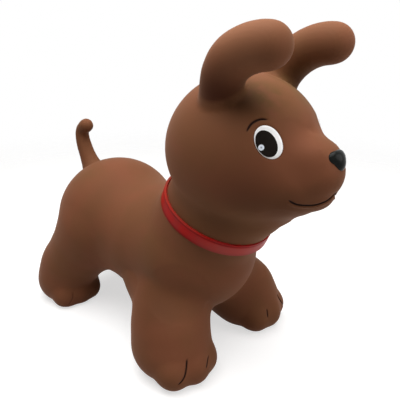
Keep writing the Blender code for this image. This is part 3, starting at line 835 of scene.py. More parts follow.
def collar_radii(tree):
    """How far the neck's surface lies from the collar's middle, all the way round."""
    middle, _, ahead = collar_axes()
    radii = []
    for angle in turn_angles(COLLAR_STEPS):
        outward = ahead * math.cos(angle) + ACROSS * math.sin(angle)
        radii.append((tree.ray_cast(middle, outward)[0] - middle).length)
    for _ in range(COLLAR_SMOOTHING):
        radii = [
            (radii[count - 1] + 2 * radii[count] + radii[(count + 1) % COLLAR_STEPS]) / 4
            for count in range(COLLAR_STEPS)
        ]
    return radii


def mark_spray(mesh, radii, width):
    """Keep in the attribute named spray how much of the collar's red has drifted onto the skin."""
    middle, axis, ahead = collar_axes()
    values = [0.0] * len(mesh.vertices)
    for index, vertex in enumerate(mesh.vertices):
        offset = vertex.co - middle
        height = offset.dot(axis)
        if not -width <= height < width / 2:
            continue
        out = Vector((offset.dot(ahead), offset.dot(ACROSS)))
        angle = math.atan2(out.y, out.x) % (2 * math.pi)
        radius = radii[round(angle / (2 * math.pi) * COLLAR_STEPS) % COLLAR_STEPS]
        if abs(out.length - radius) < width:
            beyond = max(0.0, SPRAY_REACH / 3 - height - width / 2)
            values[index] = math.exp(-(2 * beyond / SPRAY_REACH) ** 2)
    keep_values(mesh, "spray", values)


def mark_patches(mesh, name, patches, edge_shares=None):
    """Keep in the attribute named how strongly the patches, each a spot and its spread, colour the skin with
    painted shade, painted light or a tint.

    With edge shares, only what stands clear of the head's own round form is shaded.
    """
    spots = head_spots(patches)
    head = blob_middle("head")
    values = []
    for vertex in mesh.vertices:
        value = max(math.exp(-((vertex.co - spot).length / spread) ** 2) for spot, spread in spots)
        if edge_shares:
            low, high = edge_shares
            offset = vertex.co - head
            reach = Vector([part / half for part, half in zip(offset, HEAD_HALF_SIZES)]).length
            value *= min(1.0, max(0.0, (reach - low) / (high - low)))
        values.append(value)
    keep_values(mesh, name, values)


def mark_collar(mesh, width):
    """Keep each vertex's height on the collar as level, from 0 to 1, and how far ahead it lies as turn."""
    middle, axis, ahead = collar_axes()
    offsets = [vertex.co - middle for vertex in mesh.vertices]
    keep_values(mesh, "level", [offset.dot(axis) / width + 0.5 for offset in offsets])
    keep_values(mesh, "turn", [offset.dot(ahead) / NECK_HALF_SIZES[1] for offset in offsets])


# Node trees

class Nodes:
    """Short ways to add nodes to a tree and to join them."""

    def __init__(self, tree):
        self.tree = tree

    def feed(self, socket, value):
        """Give a socket a link or a plain value."""
        if isinstance(value, bpy.types.NodeSocket):
            self.tree.links.new(value, socket)
        else:
            socket.default_value = value

    def node(self, kind, **inputs):
        """Add a node and feed its named sockets."""
        made = self.tree.nodes.new(kind)
        for label, value in inputs.items():
            self.feed(made.inputs[label.replace("_", " ")], value)
        return made

    def maths(self, operation, *values):
        made = self.tree.nodes.new("ShaderNodeMath")
        made.operation = operation
        for socket, value in zip(made.inputs, values):
            self.feed(socket, value)
        return made.outputs[0]

    def noise(self, scale, detail, roughness=0.5):
        """Noise in Object coordinates, so that it stays on its piece."""
        where = self.node("ShaderNodeTexCoord").outputs["Object"]
        made = self.node("ShaderNodeTexNoise", Vector=where, Scale=scale, Detail=detail, Roughness=roughness)
        return made.outputs["Fac"]

    def ramp(self, value, low, high):
        """The value spread from 0 at low to 1 at high."""
        made = self.node("ShaderNodeMapRange", Value=value, From_Min=low, From_Max=high)
        made.interpolation_type = "SMOOTHSTEP"
        return made.outputs["Result"]

    def cloud(self, scale, detail, low, high, roughness=0.5):
        """Noise spread from 0 at low to 1 at high."""
        return self.ramp(self.noise(scale, detail, roughness), low, high)

    def attribute(self, name):
        made = self.tree.nodes.new("ShaderNodeAttribute")
        made.attribute_name = name
        return made.outputs["Fac"]

    def mix(self, share, first, second):
        """The second colour laid over the first by its share."""
        made = self.tree.nodes.new("ShaderNodeMix")
        made.data_type = "RGBA"
        self.feed(made.inputs["Factor"], share)
        for index, colour in zip(MIX_COLOURS, (first, second)):
            self.feed(made.inputs[index], colour)
        return made.outputs[MIXED_COLOUR]

    def seen_by(self, *kinds):
        """1 for the kinds of ray named, and 0 for the rest."""
        rays = self.node("ShaderNodeLightPath").outputs
        seen, *others = [rays[f"Is {kind} Ray"] for kind in kinds]
        for other in others:
            seen = self.maths("MAXIMUM", seen, other)
        return seen


class Group(Nodes):
    """A node group with named inputs, each with its kind and perhaps a default, and named outputs."""

    def __init__(self, name, kind, inputs, outputs):
        super().__init__(bpy.data.node_groups.new(name, kind))
        self.identifiers = {}
        for label, socket_kind, *default in inputs:
            made = self.tree.interface.new_socket(label, in_out="INPUT", socket_type=socket_kind)
            self.identifiers[label] = made.identifier
            if default:
                made.default_value = default[0]
        for label, socket_kind in outputs:
            self.tree.interface.new_socket(label, in_out="OUTPUT", socket_type=socket_kind)
        self.given = self.tree.nodes.new("NodeGroupInput").outputs
        self.sink = self.tree.nodes.new("NodeGroupOutput")

    def put(self, label, value):
        self.feed(self.sink.inputs[label], value)


class Sweep(Group):
    """A geometry node tree that works on one mesh, with named inputs for its sizes and its finish."""

    def __init__(self, name, inputs):
        geometry = ("Geometry", "NodeSocketGeometry")
        super().__init__(
            name, "GeometryNodeTree", (geometry, *inputs, ("Finish", "NodeSocketMaterial")), (geometry,))
        self.tree.is_modifier = True

    def ring(self, steps, radius):
        made = self.node("GeometryNodeCurvePrimitiveCircle", Resolution=steps, Radius=radius)
        return made.outputs["Curve"]

    def swept(self, course, section):
        return self.node("GeometryNodeCurveToMesh", Curve=course, Profile_Curve=section).outputs[0]

    def finish(self, *meshes):
        """Join the meshes, and end the tree in Realize Instances and Set Material."""
        joined = self.node("GeometryNodeJoinGeometry")
        for mesh in meshes:
            self.feed(joined.inputs[0], mesh)
        real = self.node("GeometryNodeRealizeInstances", Geometry=joined.outputs[0])
        painted = self.node(
            "GeometryNodeSetMaterial", Geometry=real.outputs[0], Material=self.given["Finish"])
        self.put("Geometry", painted.outputs[0])
        return self


def grown_by_nodes(maker, subject, values):
    """The plain mesh that a node tree makes on a helper object, with the tree's inputs set first."""
    modifier = subject.modifiers.new("grown", "NODES")
    modifier.node_group = maker.tree
    for label, value in values.items():
        modifier[maker.identifiers[label]] = value
    mesh = plain_mesh(subject)
    bpy.data.node_groups.remove(maker.tree)
    return mesh


def collar_sweep():
    """Sweeps a profile round the collar's course, and runs a bead along the band's upper edge."""
    maker = Sweep("collar_sweep", (
        ("Profile", "NodeSocketObject"),
        ("Rim Radius", "NodeSocketFloat"),
        ("Rim Out", "NodeSocketFloat"),
        ("Rim Up", "NodeSocketFloat"),
    ))
    given = maker.given
    course = maker.node("GeometryNodeMeshToCurve", Mesh=given["Geometry"])
    upright = maker.node("GeometryNodeSetCurveNormal", Curve=course.outputs[0])
    upright.mode = "Z_UP"
    course = upright.outputs[0]
    profile = maker.node("GeometryNodeObjectInfo", Object=given["Profile"]).outputs["Geometry"]
    band = maker.swept(course, maker.node("GeometryNodeMeshToCurve", Mesh=profile).outputs[0])
    offset = maker.node("ShaderNodeCombineXYZ", X=given["Rim Out"], Y=given["Rim Up"]).outputs[0]
    bead = maker.node(
        "GeometryNodeTransform", Geometry=maker.ring(RING_STEPS, given["Rim Radius"]), Translation=offset)
    return maker.finish(band, maker.swept(course, bead.outputs[0]))


def plug_ribs():
    """Repeats a sealing rib up the air plug's shank and joins the ribs to the turned plug."""
    maker = Sweep("plug_ribs", (
        ("Count", "NodeSocketInt"),
        ("Pitch", "NodeSocketFloat"),
        ("Shank Radius", "NodeSocketFloat"),
        ("Rib Radius", "NodeSocketFloat"),
    ))
    given = maker.given
    pitch = maker.node("ShaderNodeCombineXYZ", Z=given["Pitch"]).outputs[0]
    row = maker.node("GeometryNodeMeshLine", Count=given["Count"], Start_Location=pitch, Offset=pitch)
    rib = maker.swept(
        maker.ring(ROUND_STEPS, given["Shank Radius"]), maker.ring(RING_STEPS, given["Rib Radius"]))
    ribs = maker.node("GeometryNodeInstanceOnPoints", Points=row.outputs[0], Instance=rib)
    return maker.finish(given["Geometry"], ribs.outputs[0])


# Surface finishes

def moulded_vinyl():
    """Moulded vinyl: mottled colour, a bloom that varies its gloss, and a fine grain with soft dents."""
    made = Group("moulded_vinyl", "ShaderNodeTree", (
        ("Colour", "NodeSocketColor"),
        ("Mottle Colour", "NodeSocketColor"),
        ("Mottle Scale", "NodeSocketFloat", 14.0),
        ("Mottle Amount", "NodeSocketFloat", 0.5),
        ("Grain Scale", "NodeSocketFloat", 900.0),
        ("Gloss Low", "NodeSocketFloat", 0.42),
        ("Gloss Spread", "NodeSocketFloat", 0.12),
    ), FINISH_OUTPUTS)
    given = made.given
    mottle = made.cloud(given["Mottle Scale"], detail=3.0, low=0.38, high=0.64)
    mottle = made.maths("MULTIPLY", mottle, given["Mottle Amount"])
    made.put("Colour", made.mix(mottle, given["Colour"], given["Mottle Colour"]))
    bloom = made.noise(made.maths("MULTIPLY", given["Mottle Scale"], 3.0), detail=4.0)
    made.put("Roughness", made.maths("MULTIPLY_ADD", bloom, given["Gloss Spread"], given["Gloss Low"]))
    grain = made.noise(given["Grain Scale"], detail=2.0, roughness=0.6)
    dents = made.noise(made.maths("MULTIPLY", given["Grain Scale"], 0.03), detail=1.0)
    made.put("Height", made.maths("MULTIPLY_ADD", dents, 1.5, grain))
    return made.tree


def gloss_paint():
    """Sprayed gloss paint: an even colour with faint orange peel and soft handling marks in its gloss."""
    made = Group("gloss_paint", "ShaderNodeTree", (
        ("Colour", "NodeSocketColor"),
        ("Worn Colour", "NodeSocketColor"),
        ("Gloss Low", "NodeSocketFloat", 0.22),
        ("Gloss Spread", "NodeSocketFloat", 0.14),
    ), FINISH_OUTPUTS)
    given = made.given
    worn = made.cloud(90.0, detail=4.0, low=0.52, high=0.75, roughness=0.6)
    made.put("Colour", made.mix(worn, given["Colour"], given["Worn Colour"]))
    marks = made.noise(160.0, detail=3.0)
    made.put("Roughness", made.maths("MULTIPLY_ADD", marks, given["Gloss Spread"], given["Gloss Low"]))
    made.put("Height", made.noise(420.0, detail=1.0))
    return made.tree


class Finish(Nodes):
    """A material with one shared group placed in it, whose outputs feed a Principled BSDF.

    The group is built the first time that a finish asks for it, and its inputs are set by their labels.
    """

    def __init__(self, name, group, bump_strength, bump_distance, **group_values):
        self.material = bpy.data.materials.new(name)
        self.material.use_nodes = True
        super().__init__(self.material.node_tree)
        self.shader = self.tree.nodes["Principled BSDF"]
        placed = self.tree.nodes.new("ShaderNodeGroup")
        placed.node_tree = bpy.data.node_groups.get(group.__name__) or group()
        for label, value in group_values.items():
            socket = placed.inputs[label.replace("_", " ")]
            socket.default_value = (*value, 1.0) if hasattr(value, "__len__") else value
        self.colour = placed.outputs["Colour"]
        bump = self.node(
            "ShaderNodeBump", Strength=bump_strength, Distance=bump_distance, Height=placed.outputs["Height"])
        self.feed(self.shader.inputs["Roughness"], placed.outputs["Roughness"])
        self.feed(self.shader.inputs["Normal"], bump.outputs["Normal"])

    def overlay(self, colour, share, *masks):
        """Lay another colour over what is there, by the masks' product times the share."""
        for mask in masks:
            share = self.maths("MULTIPLY", mask, share)
        self.colour = self.mix(share, self.colour, (*colour, 1.0))

    def done(self, **shader_values):
        self.feed(self.shader.inputs["Base Color"], self.colour)
        for label, value in shader_values.items():
            self.feed(self.shader.inputs[label.replace("_", " ")], value)
        return self.material


def tinted(colour, factor, lift=0.0):
    return [channel * factor + lift for channel in colour]


def skin_finish(colours):
    """Brown vinyl with soft patches of olive tint, painted light on the ear tops, painted shade at the ear
    roots, on the brow and under the head, a drift of red spray by the collar, and dark grooves.
    """
    finish = Finish(
        "brown_vinyl", moulded_vinyl, bump_strength=0.10, bump_distance=0.0004, Colour=colours.skin,
        Mottle_Colour=colours.skin_warm, Mottle_Scale=11.0, Mottle_Amount=0.75,
        Gloss_Low=0.56, Gloss_Spread=0.14)
    finish.overlay(colours.skin_olive, 0.30, finish.cloud(7.0, detail=2.0, low=0.50, high=0.72))
    brow_cloud = finish.cloud(55.0, detail=3.0, low=0.20, high=0.60)
    # Painted light on the tops of the ears
    finish.overlay(EAR_LIGHT_BROWN, 0.85, finish.attribute("lightened"))
    # Painted shade under the head and the head's painted shadow on the front legs' tops
    finish.overlay(UNDERSIDE_SHADE_BROWN, 0.42, finish.attribute("underside_shade"))
    finish.overlay(OLIVE_BROWN, 0.80, finish.attribute("olive"), brow_cloud)
    finish.overlay(SHADE_BROWN, 0.70, finish.attribute("shade"))
    # Painted shade in the crease at each ear's root
    finish.overlay(ROOT_SHADE_BROWN, 0.86, finish.attribute("root"))
    speckle = finish.cloud(420.0, detail=2.0, low=0.30, high=0.62)
    finish.overlay(colours.collar, 0.90, finish.attribute("spray"), speckle)
    finish.overlay(colours.groove, 1.0, finish.ramp(finish.attribute("groove"), 0.12, 0.62))
    return finish.done(
        Specular_IOR_Level=0.05, Sheen_Weight=0.10, Sheen_Roughness=0.45, Sheen_Tint=(1.0, 0.66, 0.46, 1.0))


def collar_finish(colours):
    """Red vinyl, darker at its foot, with a painted shadow in a line under its rim, a painted highlight along
    the rim and painted sheen at the front, and thin at the back of the neck.
    """
    finish = Finish(
        "red_vinyl", moulded_vinyl, bump_strength=0.10, bump_distance=0.0003, Colour=colours.collar,
        Mottle_Colour=tinted(colours.collar, 0.62, 0.02), Mottle_Scale=38.0, Mottle_Amount=0.55,
        Gloss_Low=0.34, Gloss_Spread=0.16)
    level = finish.attribute("level")
    turn = finish.attribute("turn")
    foot = finish.ramp(level, 0.30, 0.03)
    stripe = finish.ramp(level, 0.30, 0.46), finish.ramp(level, 0.66, 0.52)
    line = finish.ramp(level, 0.78, 0.84), finish.ramp(level, 0.94, 0.89)
    rim = finish.ramp(level, 0.955, 0.98), finish.ramp(turn, 0.70, 0.10)
    front = finish.ramp(turn, 0.25, 0.90), finish.ramp(level, 0.86, 0.66)
    back = finish.ramp(turn, -0.50, -0.90), finish.cloud(260.0, detail=2.0, low=0.30, high=0.60)
    finish.overlay(tinted(colours.collar, 0.55), 1.0, foot)
    finish.overlay(STRIPE_RED, 0.22, *stripe)
    # Painted shadow in the dip under the rim's bead
    finish.overlay(RIM_SHADOW_RED, 0.50, *line)
    # Painted highlight along the rim's bead
    finish.overlay(RIM_HIGHLIGHT_RED, 0.42, *rim)
    # Painted sheen on the front of the collar
    finish.overlay(FRONT_SHEEN_RED, 0.60, *front)
    finish.overlay(colours.skin_warm, 0.60, *back)
    return finish.done(Specular_IOR_Level=0.06)


def nose_finish(colours):
    finish = Finish(
        "black_nose_paint", gloss_paint, bump_strength=0.06, bump_distance=0.0003, Colour=colours.black,
        Worn_Colour=tinted(colours.black, 1.8, 0.002), Gloss_Low=0.15, Gloss_Spread=0.12)
    return finish.done(Specular_IOR_Level=0.08)


def eye_finish(name, colour, worn, gloss_low, gloss_spread):
    """Thin smooth paint, as on all the layers of the eyes."""
    return Finish(
        name, gloss_paint, bump_strength=0.03, bump_distance=0.0002, Colour=colour, Worn_Colour=worn,
        Gloss_Low=gloss_low, Gloss_Spread=gloss_spread)


def white_finish(colours):
    finish = eye_finish("white_eye_paint", colours.white, tinted(colours.white, 0.93), 0.30, 0.12)
    return finish.done(Coat_Weight=0.10, Coat_Roughness=0.20)


def pupil_finish(colours):
    red, green, blue = colours.black
    warm = (red * 1.6, green, blue)
    finish = eye_finish("black_eye_paint", warm, tinted(warm, 1.7), 0.30, 0.12)
    return finish.done(Specular_IOR_Level=0.04)


def highlight_finish():
    """Bluish white with a small grey middle, by the share of the radius in the attribute named across."""
    finish = eye_finish("highlight_paint", HIGHLIGHT_WHITE, HIGHLIGHT_WORN, 0.28, 0.10)
    rim = finish.ramp(finish.attribute("across"), 0.16, 0.44)
    finish.overlay(HIGHLIGHT_GREY, 0.75, finish.maths("SUBTRACT", 1.0, rim))
    return finish.done(Coat_Weight=0.10, Coat_Roughness=0.20)


def plug_finish(colours):
    red, green, blue = colours.plug
    finish = Finish(
        "natural_vinyl", moulded_vinyl, bump_strength=0.08, bump_distance=0.0002, Colour=colours.plug,
        Mottle_Colour=(red * 0.95, green * 0.90, blue * 0.78), Mottle_Scale=120.0, Mottle_Amount=0.6,
        Gloss_Low=0.30, Gloss_Spread=0.14)
    return finish.done(Subsurface_Weight=0.15, Subsurface_Scale=0.004)


# Meshes of the smaller pieces

def air_hole_cutter():
    """The recess and the air hole as one turned cutter, with a chamfer at the recess's mouth."""
    face = PLUG_SEAT.z + GAP - RECESS_DEPTH
    below = face - RECESS_DEPTH * 4
    outline = [
        (0.0, below),
        (RECESS_RADIUS + RECESS_CHAMFER, below),
        (RECESS_RADIUS + RECESS_CHAMFER, face - RECESS_CHAMFER),
        (RECESS_RADIUS, face + RECESS_CHAMFER),
        (RECESS_RADIUS, face + RECESS_DEPTH),
        (AIR_HOLE_RADIUS, face + RECESS_DEPTH),
        (AIR_HOLE_RADIUS, face + AIR_HOLE_DEPTH),
        (0.0, face + AIR_HOLE_DEPTH),
    ]
    return turned(outline, "air_hole_cutter", Vector((0, PLUG_SEAT.y, 0)))


def turned(outline, name, middle):
    """A mesh turned from an outline of radii and heights about an upright line."""
    bm = bmesh.new()
    corners = [bm.verts.new((radius, 0, height)) for radius, height in outline]
    edges = [bm.edges.new(pair) for pair in zip(corners, corners[1:])]
    bmesh.ops.spin(
        bm, geom=corners + edges, cent=(0, 0, 0), axis=(0, 0, 1), angle=2 * math.pi, steps=ROUND_STEPS)
    bmesh.ops.translate(bm, vec=middle, verts=bm.verts)
    return mesh_from(bm, name)


def cut(mesh, cutter_mesh, name):
    """The mesh with the cutter's solid taken away."""
    subject = link(name, mesh)
    cutter = link("cutter", cutter_mesh)
    boolean = subject.modifiers.new("cut", "BOOLEAN")
    boolean.operation = "DIFFERENCE"
    boolean.solver = "EXACT"
    boolean.object = cutter
    result = plain_mesh(subject)
    bpy.data.objects.remove(cutter, do_unlink=True)
    return result


def collar_mesh(tree, trim, finish):
    """The collar swept flat round its course, then tilted into its place on the neck."""
    half = trim.collar_width / 2
    course = [
        (radius * math.cos(angle), radius * math.sin(angle), 0)
        for radius, angle in zip(collar_radii(tree), turn_angles(COLLAR_STEPS))
    ]
    section = [(trim.collar_proud * out, half * up, 0) for out, up in COLLAR_SECTION]
    section = [(-COLLAR_SEAT, -half, 0), *section, (-COLLAR_SEAT, half, 0)]
    profile = link("collar_section", edge_loop(section, "collar_section"))
    mesh = grown_by_nodes(collar_sweep(), link("collar_course", edge_loop(course, "collar_course")), {
        "Profile": profile,
        "Rim Radius": trim.collar_rim,
        "Rim Out": trim.collar_proud - trim.collar_rim / 3,
        "Rim Up": half - trim.collar_rim,
        "Finish": finish,
    })
    bpy.data.objects.remove(profile, do_unlink=True)
    middle, axis, ahead = collar_axes()
    mesh.transform(Matrix.Translation(middle) @ Matrix((ahead, ACROSS, axis)).transposed().to_4x4())
    with reshaping(mesh) as bm:
        bmesh.ops.recalc_face_normals(bm, faces=bm.faces)
    mark_collar(mesh, trim.collar_width)
    return mesh


def nose_mesh(tree, trim):
    """A domed rounded triangle that sits on the muzzle's tip, with its rim sunk into the skin."""
    facing = step(0, math.cos(NOSE_LIFT), math.sin(NOSE_LIFT))
    upward = facing.cross(ACROSS)
    seat = tree.ray_cast(blob_middle("lip") + facing * LIP_HALF_SIZES[1] * 3, -facing)[0]
    bm = bmesh.new()
    rows = []
    for ring in range(NOSE_RINGS + 1):
        share = ring / NOSE_RINGS
        rise = trim.nose_dome * math.cos(share * math.pi / 2) ** NOSE_FULLNESS
        row = []
        for angle in turn_angles(NOSE_STEPS):
            corner = 1 + NOSE_CORNER_SHARE * math.cos(3 * angle - math.pi / 2) * share
            reach = math.sin(share * math.pi / 2) * corner
            flat = ACROSS * (trim.nose_half_width * reach * math.cos(angle))
            flat += upward * (trim.nose_half_height * reach * math.sin(angle))
            spot = tree.ray_cast(seat + flat + facing * trim.nose_half_width * 2, -facing)[0]
            row.append(bm.verts.new(spot + facing * (rise - EYE_BURIED)))
        rows.append(row)
    rows.append([bm.verts.new(corner.co - facing * EYE_BURIED * 4) for corner in rows[-1]])
    face_rows(bm, rows)
    return mesh_from(bm, "nose_shape")


def eye_axes(side):
    """The eye's outward, sideways and upward directions."""
    facing = step(
        side * math.sin(EYE_TURN) * math.cos(EYE_LIFT),
        math.cos(EYE_TURN) * math.cos(EYE_LIFT),
        math.sin(EYE_LIFT),
    )
    outward = Vector((0, 0, 1)).cross(facing).normalized() * side
    upward = (Vector((0, 0, 1)) - facing * facing.z).normalized()
    roll = Matrix.Rotation(EYE_ROLL * side, 3, facing)
    return facing, roll @ outward, roll @ upward


def eye_layer(name, tree, side, half_sizes, shift, rise, rim):
    """A thin layer of paint on the face, with how far out each vertex lies in the attribute named across."""
    facing, outward, upward = eye_axes(side)
    far = blob_middle("head") + facing * HEAD_HALF_SIZES[1] * 2
    bm = bmesh.new()
    across = bm.verts.layers.float.new("across")
    rows = []
    for ring in range(EYE_RINGS + 1):
        share = ring / EYE_RINGS
        row = []
        for angle in turn_angles(EYE_STEPS):
            sideways = shift[0] + half_sizes[0] * share * math.cos(angle)
            up = shift[1] + half_sizes[1] * share * math.sin(angle)
            spot, normal = tree.ray_cast(far + outward * sideways + upward * up, -facing)[:2]
            corner = bm.verts.new(spot + normal * (rise - (rise - rim) * share ** EYE_EDGE_POWER))
            corner[across] = share
            row.append(corner)
        rows.append(row)
    low = [bm.verts.new(corner.co - facing * (rise + EYE_BURIED)) for corner in rows[-1]]
    for sunk in low:
        sunk[across] = 1.0
    rows.append(low)
    face_rows(bm, rows)
    return mesh_from(bm, name)


def plug_outline():
    """Half of the plug's plain outline, from its nose inside the puppy down to its head's face."""
    head_radius = RECESS_RADIUS - PLUG_CLEARANCE
    shank_radius = AIR_HOLE_RADIUS - PLUG_CLEARANCE - PLUG_RIB_HEIGHT
    tip, tip_edge = (shank_radius * share for share in PLUG_TIP_SHARES)
    dish_edge, dish = (head_radius * share for share in PLUG_DISH_SHARES)
    outline = [
        (0.0, PLUG_SHANK_LENGTH),
        (tip, PLUG_SHANK_LENGTH),
        (tip_edge, PLUG_SHANK_LENGTH - PLUG_NOSE_LENGTH * PLUG_TIP_DROP_SHARE),
        (shank_radius, PLUG_SHANK_LENGTH - PLUG_NOSE_LENGTH),
        (shank_radius, 0.0),
        (head_radius - PLUG_RIM_ROUND, 0.0),
    ]
    for corner, low in ((0, -PLUG_RIM_ROUND), (1, PLUG_RIM_ROUND - PLUG_HEAD_HEIGHT)):
        for count in range(PLUG_RIM_STEPS + 1):
            angle = math.radians(90 - 90 * (corner + count / PLUG_RIM_STEPS))
            outline.append((
                head_radius - PLUG_RIM_ROUND + PLUG_RIM_ROUND * math.cos(angle),
                low + PLUG_RIM_ROUND * math.sin(angle),
            ))
    return outline + [
        (dish_edge, -PLUG_HEAD_HEIGHT),
        (dish, PLUG_RIM_ROUND / 2 - PLUG_HEAD_HEIGHT),
        (0.0, PLUG_RIM_ROUND / 2 - PLUG_HEAD_HEIGHT),
    ]


def plug_blank():
    """The turned plug with the two finger notches cut beside its pull tab, at the frame's origin."""
    mesh = turned(plug_outline(), "plug_turned", Vector((0, 0, 0)))
    offset = PULL_TAB_THICKNESS / 2 + PULL_TAB_WIDTH / 4
    for side in (-1, 1):
        bm = bmesh.new()
        bmesh.ops.create_cube(bm, size=1.0)
        bmesh.ops.scale(bm, vec=(PULL_TAB_WIDTH, PULL_TAB_WIDTH / 2, 2 * PULL_TAB_DEPTH), verts=bm.verts)
        bmesh.ops.bevel(
            bm, geom=bm.edges[:], offset=PULL_TAB_DEPTH / 3, segments=3, affect="EDGES", clamp_overlap=True)
        bmesh.ops.translate(bm, vec=(0, side * offset, -PLUG_HEAD_HEIGHT), verts=bm.verts)
        mesh = cut(mesh, mesh_from(bm, "notch"), "plug_turned")
    return mesh


# Operators

def skin_tree():
    """The dressed skin's surface, for the pieces that lie on it."""
    return surface_tree(bpy.data.objects["puppy_skin"].data)


class PUPPY_OT_skin(Operator):
    """Grow the puppy's moulded skin with its soles, grooves and air hole"""

    bl_idname = "puppy.skin"
    bl_label = "Moulded skin"

    def execute(self, context):
        shape = settings().skin
        mesh = grow_form(shape.cell)
        soften(mesh)
        flatten_soles(mesh, shape.sole_round)
        tree = surface_tree(mesh)
        grooves = [*mouth_grooves(tree), *eyelid_grooves(tree), *eye_rims(tree), *toe_grooves(tree)]
        carve(mesh, grooves, shape)
        mark_spray(mesh, collar_radii(tree), settings().trim.collar_width)
        # Painted shade in the crease at each ear's root
        mark_patches(mesh, "root", (EAR_ROOT_SHADE,), EAR_EDGE_SHARES)
        mark_patches(mesh, "shade", (BROW_SHADE, BROW_SIDE_SHADE))
        mark_patches(mesh, "olive", (FOREHEAD_PATCH,))
        # Painted light on the tops of the ears
        mark_patches(mesh, "lightened", (EAR_TOP_LIGHT,))
        # Painted shade under the head and the head's painted shadow on the front legs' tops
        mark_patches(mesh, "underside_shade", (CHEEK_SHADE, NECK_SHADE, JAW_SHADE, LEG_TOP_SHADE))
        mesh = cut(mesh, air_hole_cutter(), "puppy_form")
        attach(piece("puppy_skin", mesh, skin_finish(settings().colours), "brown_pvc", "skin"), "puppy")
        return {"FINISHED"}


class PUPPY_OT_collar(Operator):
    """Sweep the red collar round the neck"""

    bl_idname = "puppy.collar"
    bl_label = "Collar"

    def execute(self, context):
        finish = collar_finish(settings().colours)
        mesh = collar_mesh(skin_tree(), settings().trim, finish)
        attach(piece("collar_band", mesh, finish, "red_pvc", "collar"), "puppy")
        return {"FINISHED"}


class PUPPY_OT_nose(Operator):
    """Set the black nose on the tip of the muzzle"""

    bl_idname = "puppy.nose"
    bl_label = "Nose"

    def execute(self, context):
        mesh = nose_mesh(skin_tree(), settings().trim)
        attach(piece("nose_button", mesh, nose_finish(settings().colours), "black_gloss", "nose"), "puppy")
        return {"FINISHED"}


class PUPPY_OT_eyes(Operator):
    """Lay the white, the pupil and the highlight of both eyes on the face"""

    bl_idname = "puppy.eyes"
    bl_label = "Eyes"

    def execute(self, context):
        colours = settings().colours
        dome = settings().trim.eye_dome
        tree = skin_tree()
        finishes = {
            "white": white_finish(colours), "pupil": pupil_finish(colours), "highlight": highlight_finish()}
        for name, side in SIDES:
            for layer, (half_sizes, shift, heights, slot) in EYE_LAYERS.items():
                rise, rim = (dome * share for share in heights)
                mesh = eye_layer(f"{layer}_paint", tree, side, half_sizes, shift, rise, rim)
                made = piece(f"{layer}_paint_{name}", mesh, finishes[layer], slot, f"eye_{layer}_{name}")
                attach(made, "puppy")
        return {"FINISHED"}


class PUPPY_OT_plug(Operator):
    """Turn the ribbed air plug in its hole under the belly"""

    bl_idname = "puppy.plug"
    bl_label = "Air plug"

    def execute(self, context):
        finish = plug_finish(settings().colours)
        ribs = settings().trim.rib_count
        mesh = grown_by_nodes(plug_ribs(), link("plug_blank", plug_blank()), {
            "Count": ribs,
            "Pitch": (PLUG_SHANK_LENGTH - PLUG_NOSE_LENGTH) / (ribs + 1),
            "Shank Radius": AIR_HOLE_RADIUS - PLUG_CLEARANCE - PLUG_RIB_HEIGHT,
            "Rib Radius": PLUG_RIB_HEIGHT,
            "Finish": finish,
        })
        mesh.transform(Matrix.Translation(PLUG_SEAT))
        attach(piece("ribbed_plug", mesh, finish, "plug_pvc", "air_plug"), "plug")
        return {"FINISHED"}


def floor_mesh(radius):
    bm = bmesh.new()
    bmesh.ops.create_circle(bm, cap_ends=True, segments=ROUND_STEPS, radius=radius)
    return mesh_as_is(bm, "studio_floor")


def floor_finish(radius):
    """Pale matt floor that fades into the white surroundings before its rim."""
    made = bpy.data.materials.new("studio_floor")
    made.use_nodes = True
    nodes = Nodes(made.node_tree)
    distance = nodes.node("ShaderNodeVectorMath")
    distance.operation = "LENGTH"
    nodes.feed(distance.inputs[0], nodes.node("ShaderNodeTexCoord").outputs["Object"])
    low, high = FLOOR_FADE_SHARES
    lightened = nodes.ramp(distance.outputs["Value"], radius * low, radius * high)
    glow = nodes.maths("MULTIPLY", nodes.seen_by("Camera", "Glossy"), FLOOR_GLOW)
    looks = {
        "Base Color": nodes.mix(nodes.cloud(3.0, detail=2.0, low=0.2, high=0.8), *FLOOR_GREYS),
        "Roughness": 0.9,
        "Specular IOR Level": 0.1,
        "Alpha": nodes.maths("SUBTRACT", 1.0, lightened),
        "Emission Color": WHITE,
        "Emission Strength": glow,
    }
    for label, value in looks.items():
        nodes.feed(nodes.tree.nodes["Principled BSDF"].inputs[label], value)
    return made


def studio_world(ambient):
    """Even light for the object, and plain white where the camera or a reflection looks past it."""
    world = bpy.data.worlds.new("studio")
    world.use_nodes = True
    bpy.context.scene.world = world
    nodes = Nodes(world.node_tree)
    seen = nodes.seen_by("Camera", "Glossy", "Transmission")
    strength = nodes.node("ShaderNodeMix", Factor=seen)
    for index, value in zip(MIX_NUMBERS, (ambient, 1.0)):
        strength.inputs[index].default_value = value
    background = nodes.tree.nodes["Background"]
    nodes.feed(background.inputs["Strength"], strength.outputs[0])
    nodes.feed(background.inputs["Color"], nodes.mix(seen, WARM_WHITE, WHITE))


def area_light(name, power, size, spot, aim):
    lamp = bpy.data.lights.new(name, "AREA")
    lamp.energy = power
    lamp.shape = "DISK"
    lamp.size = size
    made = link(name, lamp)
    made.location = spot
    made.rotation_euler = (aim - spot).to_track_quat("-Z", "Y").to_euler()


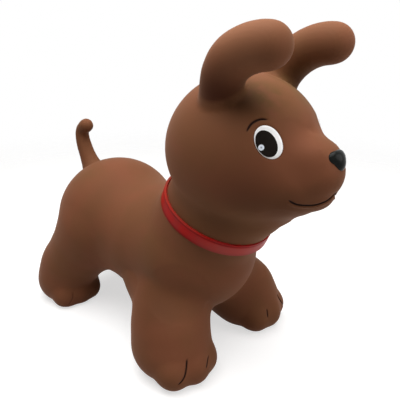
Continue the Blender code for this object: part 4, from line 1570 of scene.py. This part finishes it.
class PUPPY_OT_stage(Operator):
    """Set up the floor, the lights and the camera at the photograph's viewing angle"""

    bl_idname = "puppy.stage"
    bl_label = "Stage"

    def execute(self, context):
        stage = settings().stage
        floor = link("studio_floor", floor_mesh(FLOOR_RADIUS))
        floor.data.materials.append(floor_finish(FLOOR_RADIUS))
        studio_world(stage.ambient)
        middle = place(0, 0, HIP_HEIGHT)
        overhead, front = place(*OVERHEAD_LIGHT_PLACE), place(*FRONT_LIGHT_PLACE)
        area_light("overhead_light", stage.key_power, OVERHEAD_LIGHT_SIZE, overhead, middle)
        area_light("front_light", stage.fill_power, FRONT_LIGHT_SIZE, front, middle)
        camera = link("photo_camera", bpy.data.cameras.new("photo_camera"))
        camera.data.sensor_width = SENSOR_WIDTH_MM
        camera.data.lens = stage.lens
        target = place(*stage.aim)
        away = step(
            -math.sin(stage.turn) * math.cos(stage.pitch),
            math.cos(stage.turn) * math.cos(stage.pitch),
            math.sin(stage.pitch),
        )
        camera.location = target + away * stage.distance
        camera.rotation_euler = away.to_track_quat("Z", "Y").to_euler()
        context.scene.camera = camera
        context.scene.view_settings.view_transform = "Standard"
        return {"FINISHED"}


class PUPPY_PT_panel(Panel):
    """Buttons that build the puppy's pieces, and the settings that they use"""

    bl_idname = "PUPPY_PT_panel"
    bl_label = "Hop-on puppy"
    bl_space_type = "VIEW_3D"
    bl_region_type = "UI"
    bl_category = "Puppy"

    def draw(self, context):
        for operator in OPERATORS:
            self.layout.operator(operator.bl_idname)
        for group in (settings().skin, settings().trim, settings().colours, settings().stage):
            box = self.layout.box()
            for label in group.__annotations__:
                box.prop(group, label)


OPERATORS = (PUPPY_OT_skin, PUPPY_OT_collar, PUPPY_OT_nose, PUPPY_OT_eyes, PUPPY_OT_plug, PUPPY_OT_stage)
CLASSES = (
    PuppySkinSettings, PuppyTrimSettings, PuppyColourSettings, PuppyStageSettings, PuppySettings,
    *OPERATORS, PUPPY_PT_panel,
)


def register():
    for made in CLASSES:
        bpy.utils.register_class(made)
    bpy.types.Scene.puppy = PointerProperty(type=PuppySettings)


def unregister():
    del bpy.types.Scene.puppy
    for made in reversed(CLASSES):
        bpy.utils.unregister_class(made)


def main():
    register()
    bpy.ops.puppy.skin()
    bpy.ops.puppy.collar()
    bpy.ops.puppy.nose()
    bpy.ops.puppy.eyes()
    bpy.ops.puppy.plug()
    bpy.ops.puppy.stage()


if __name__ == "__main__":
    main()
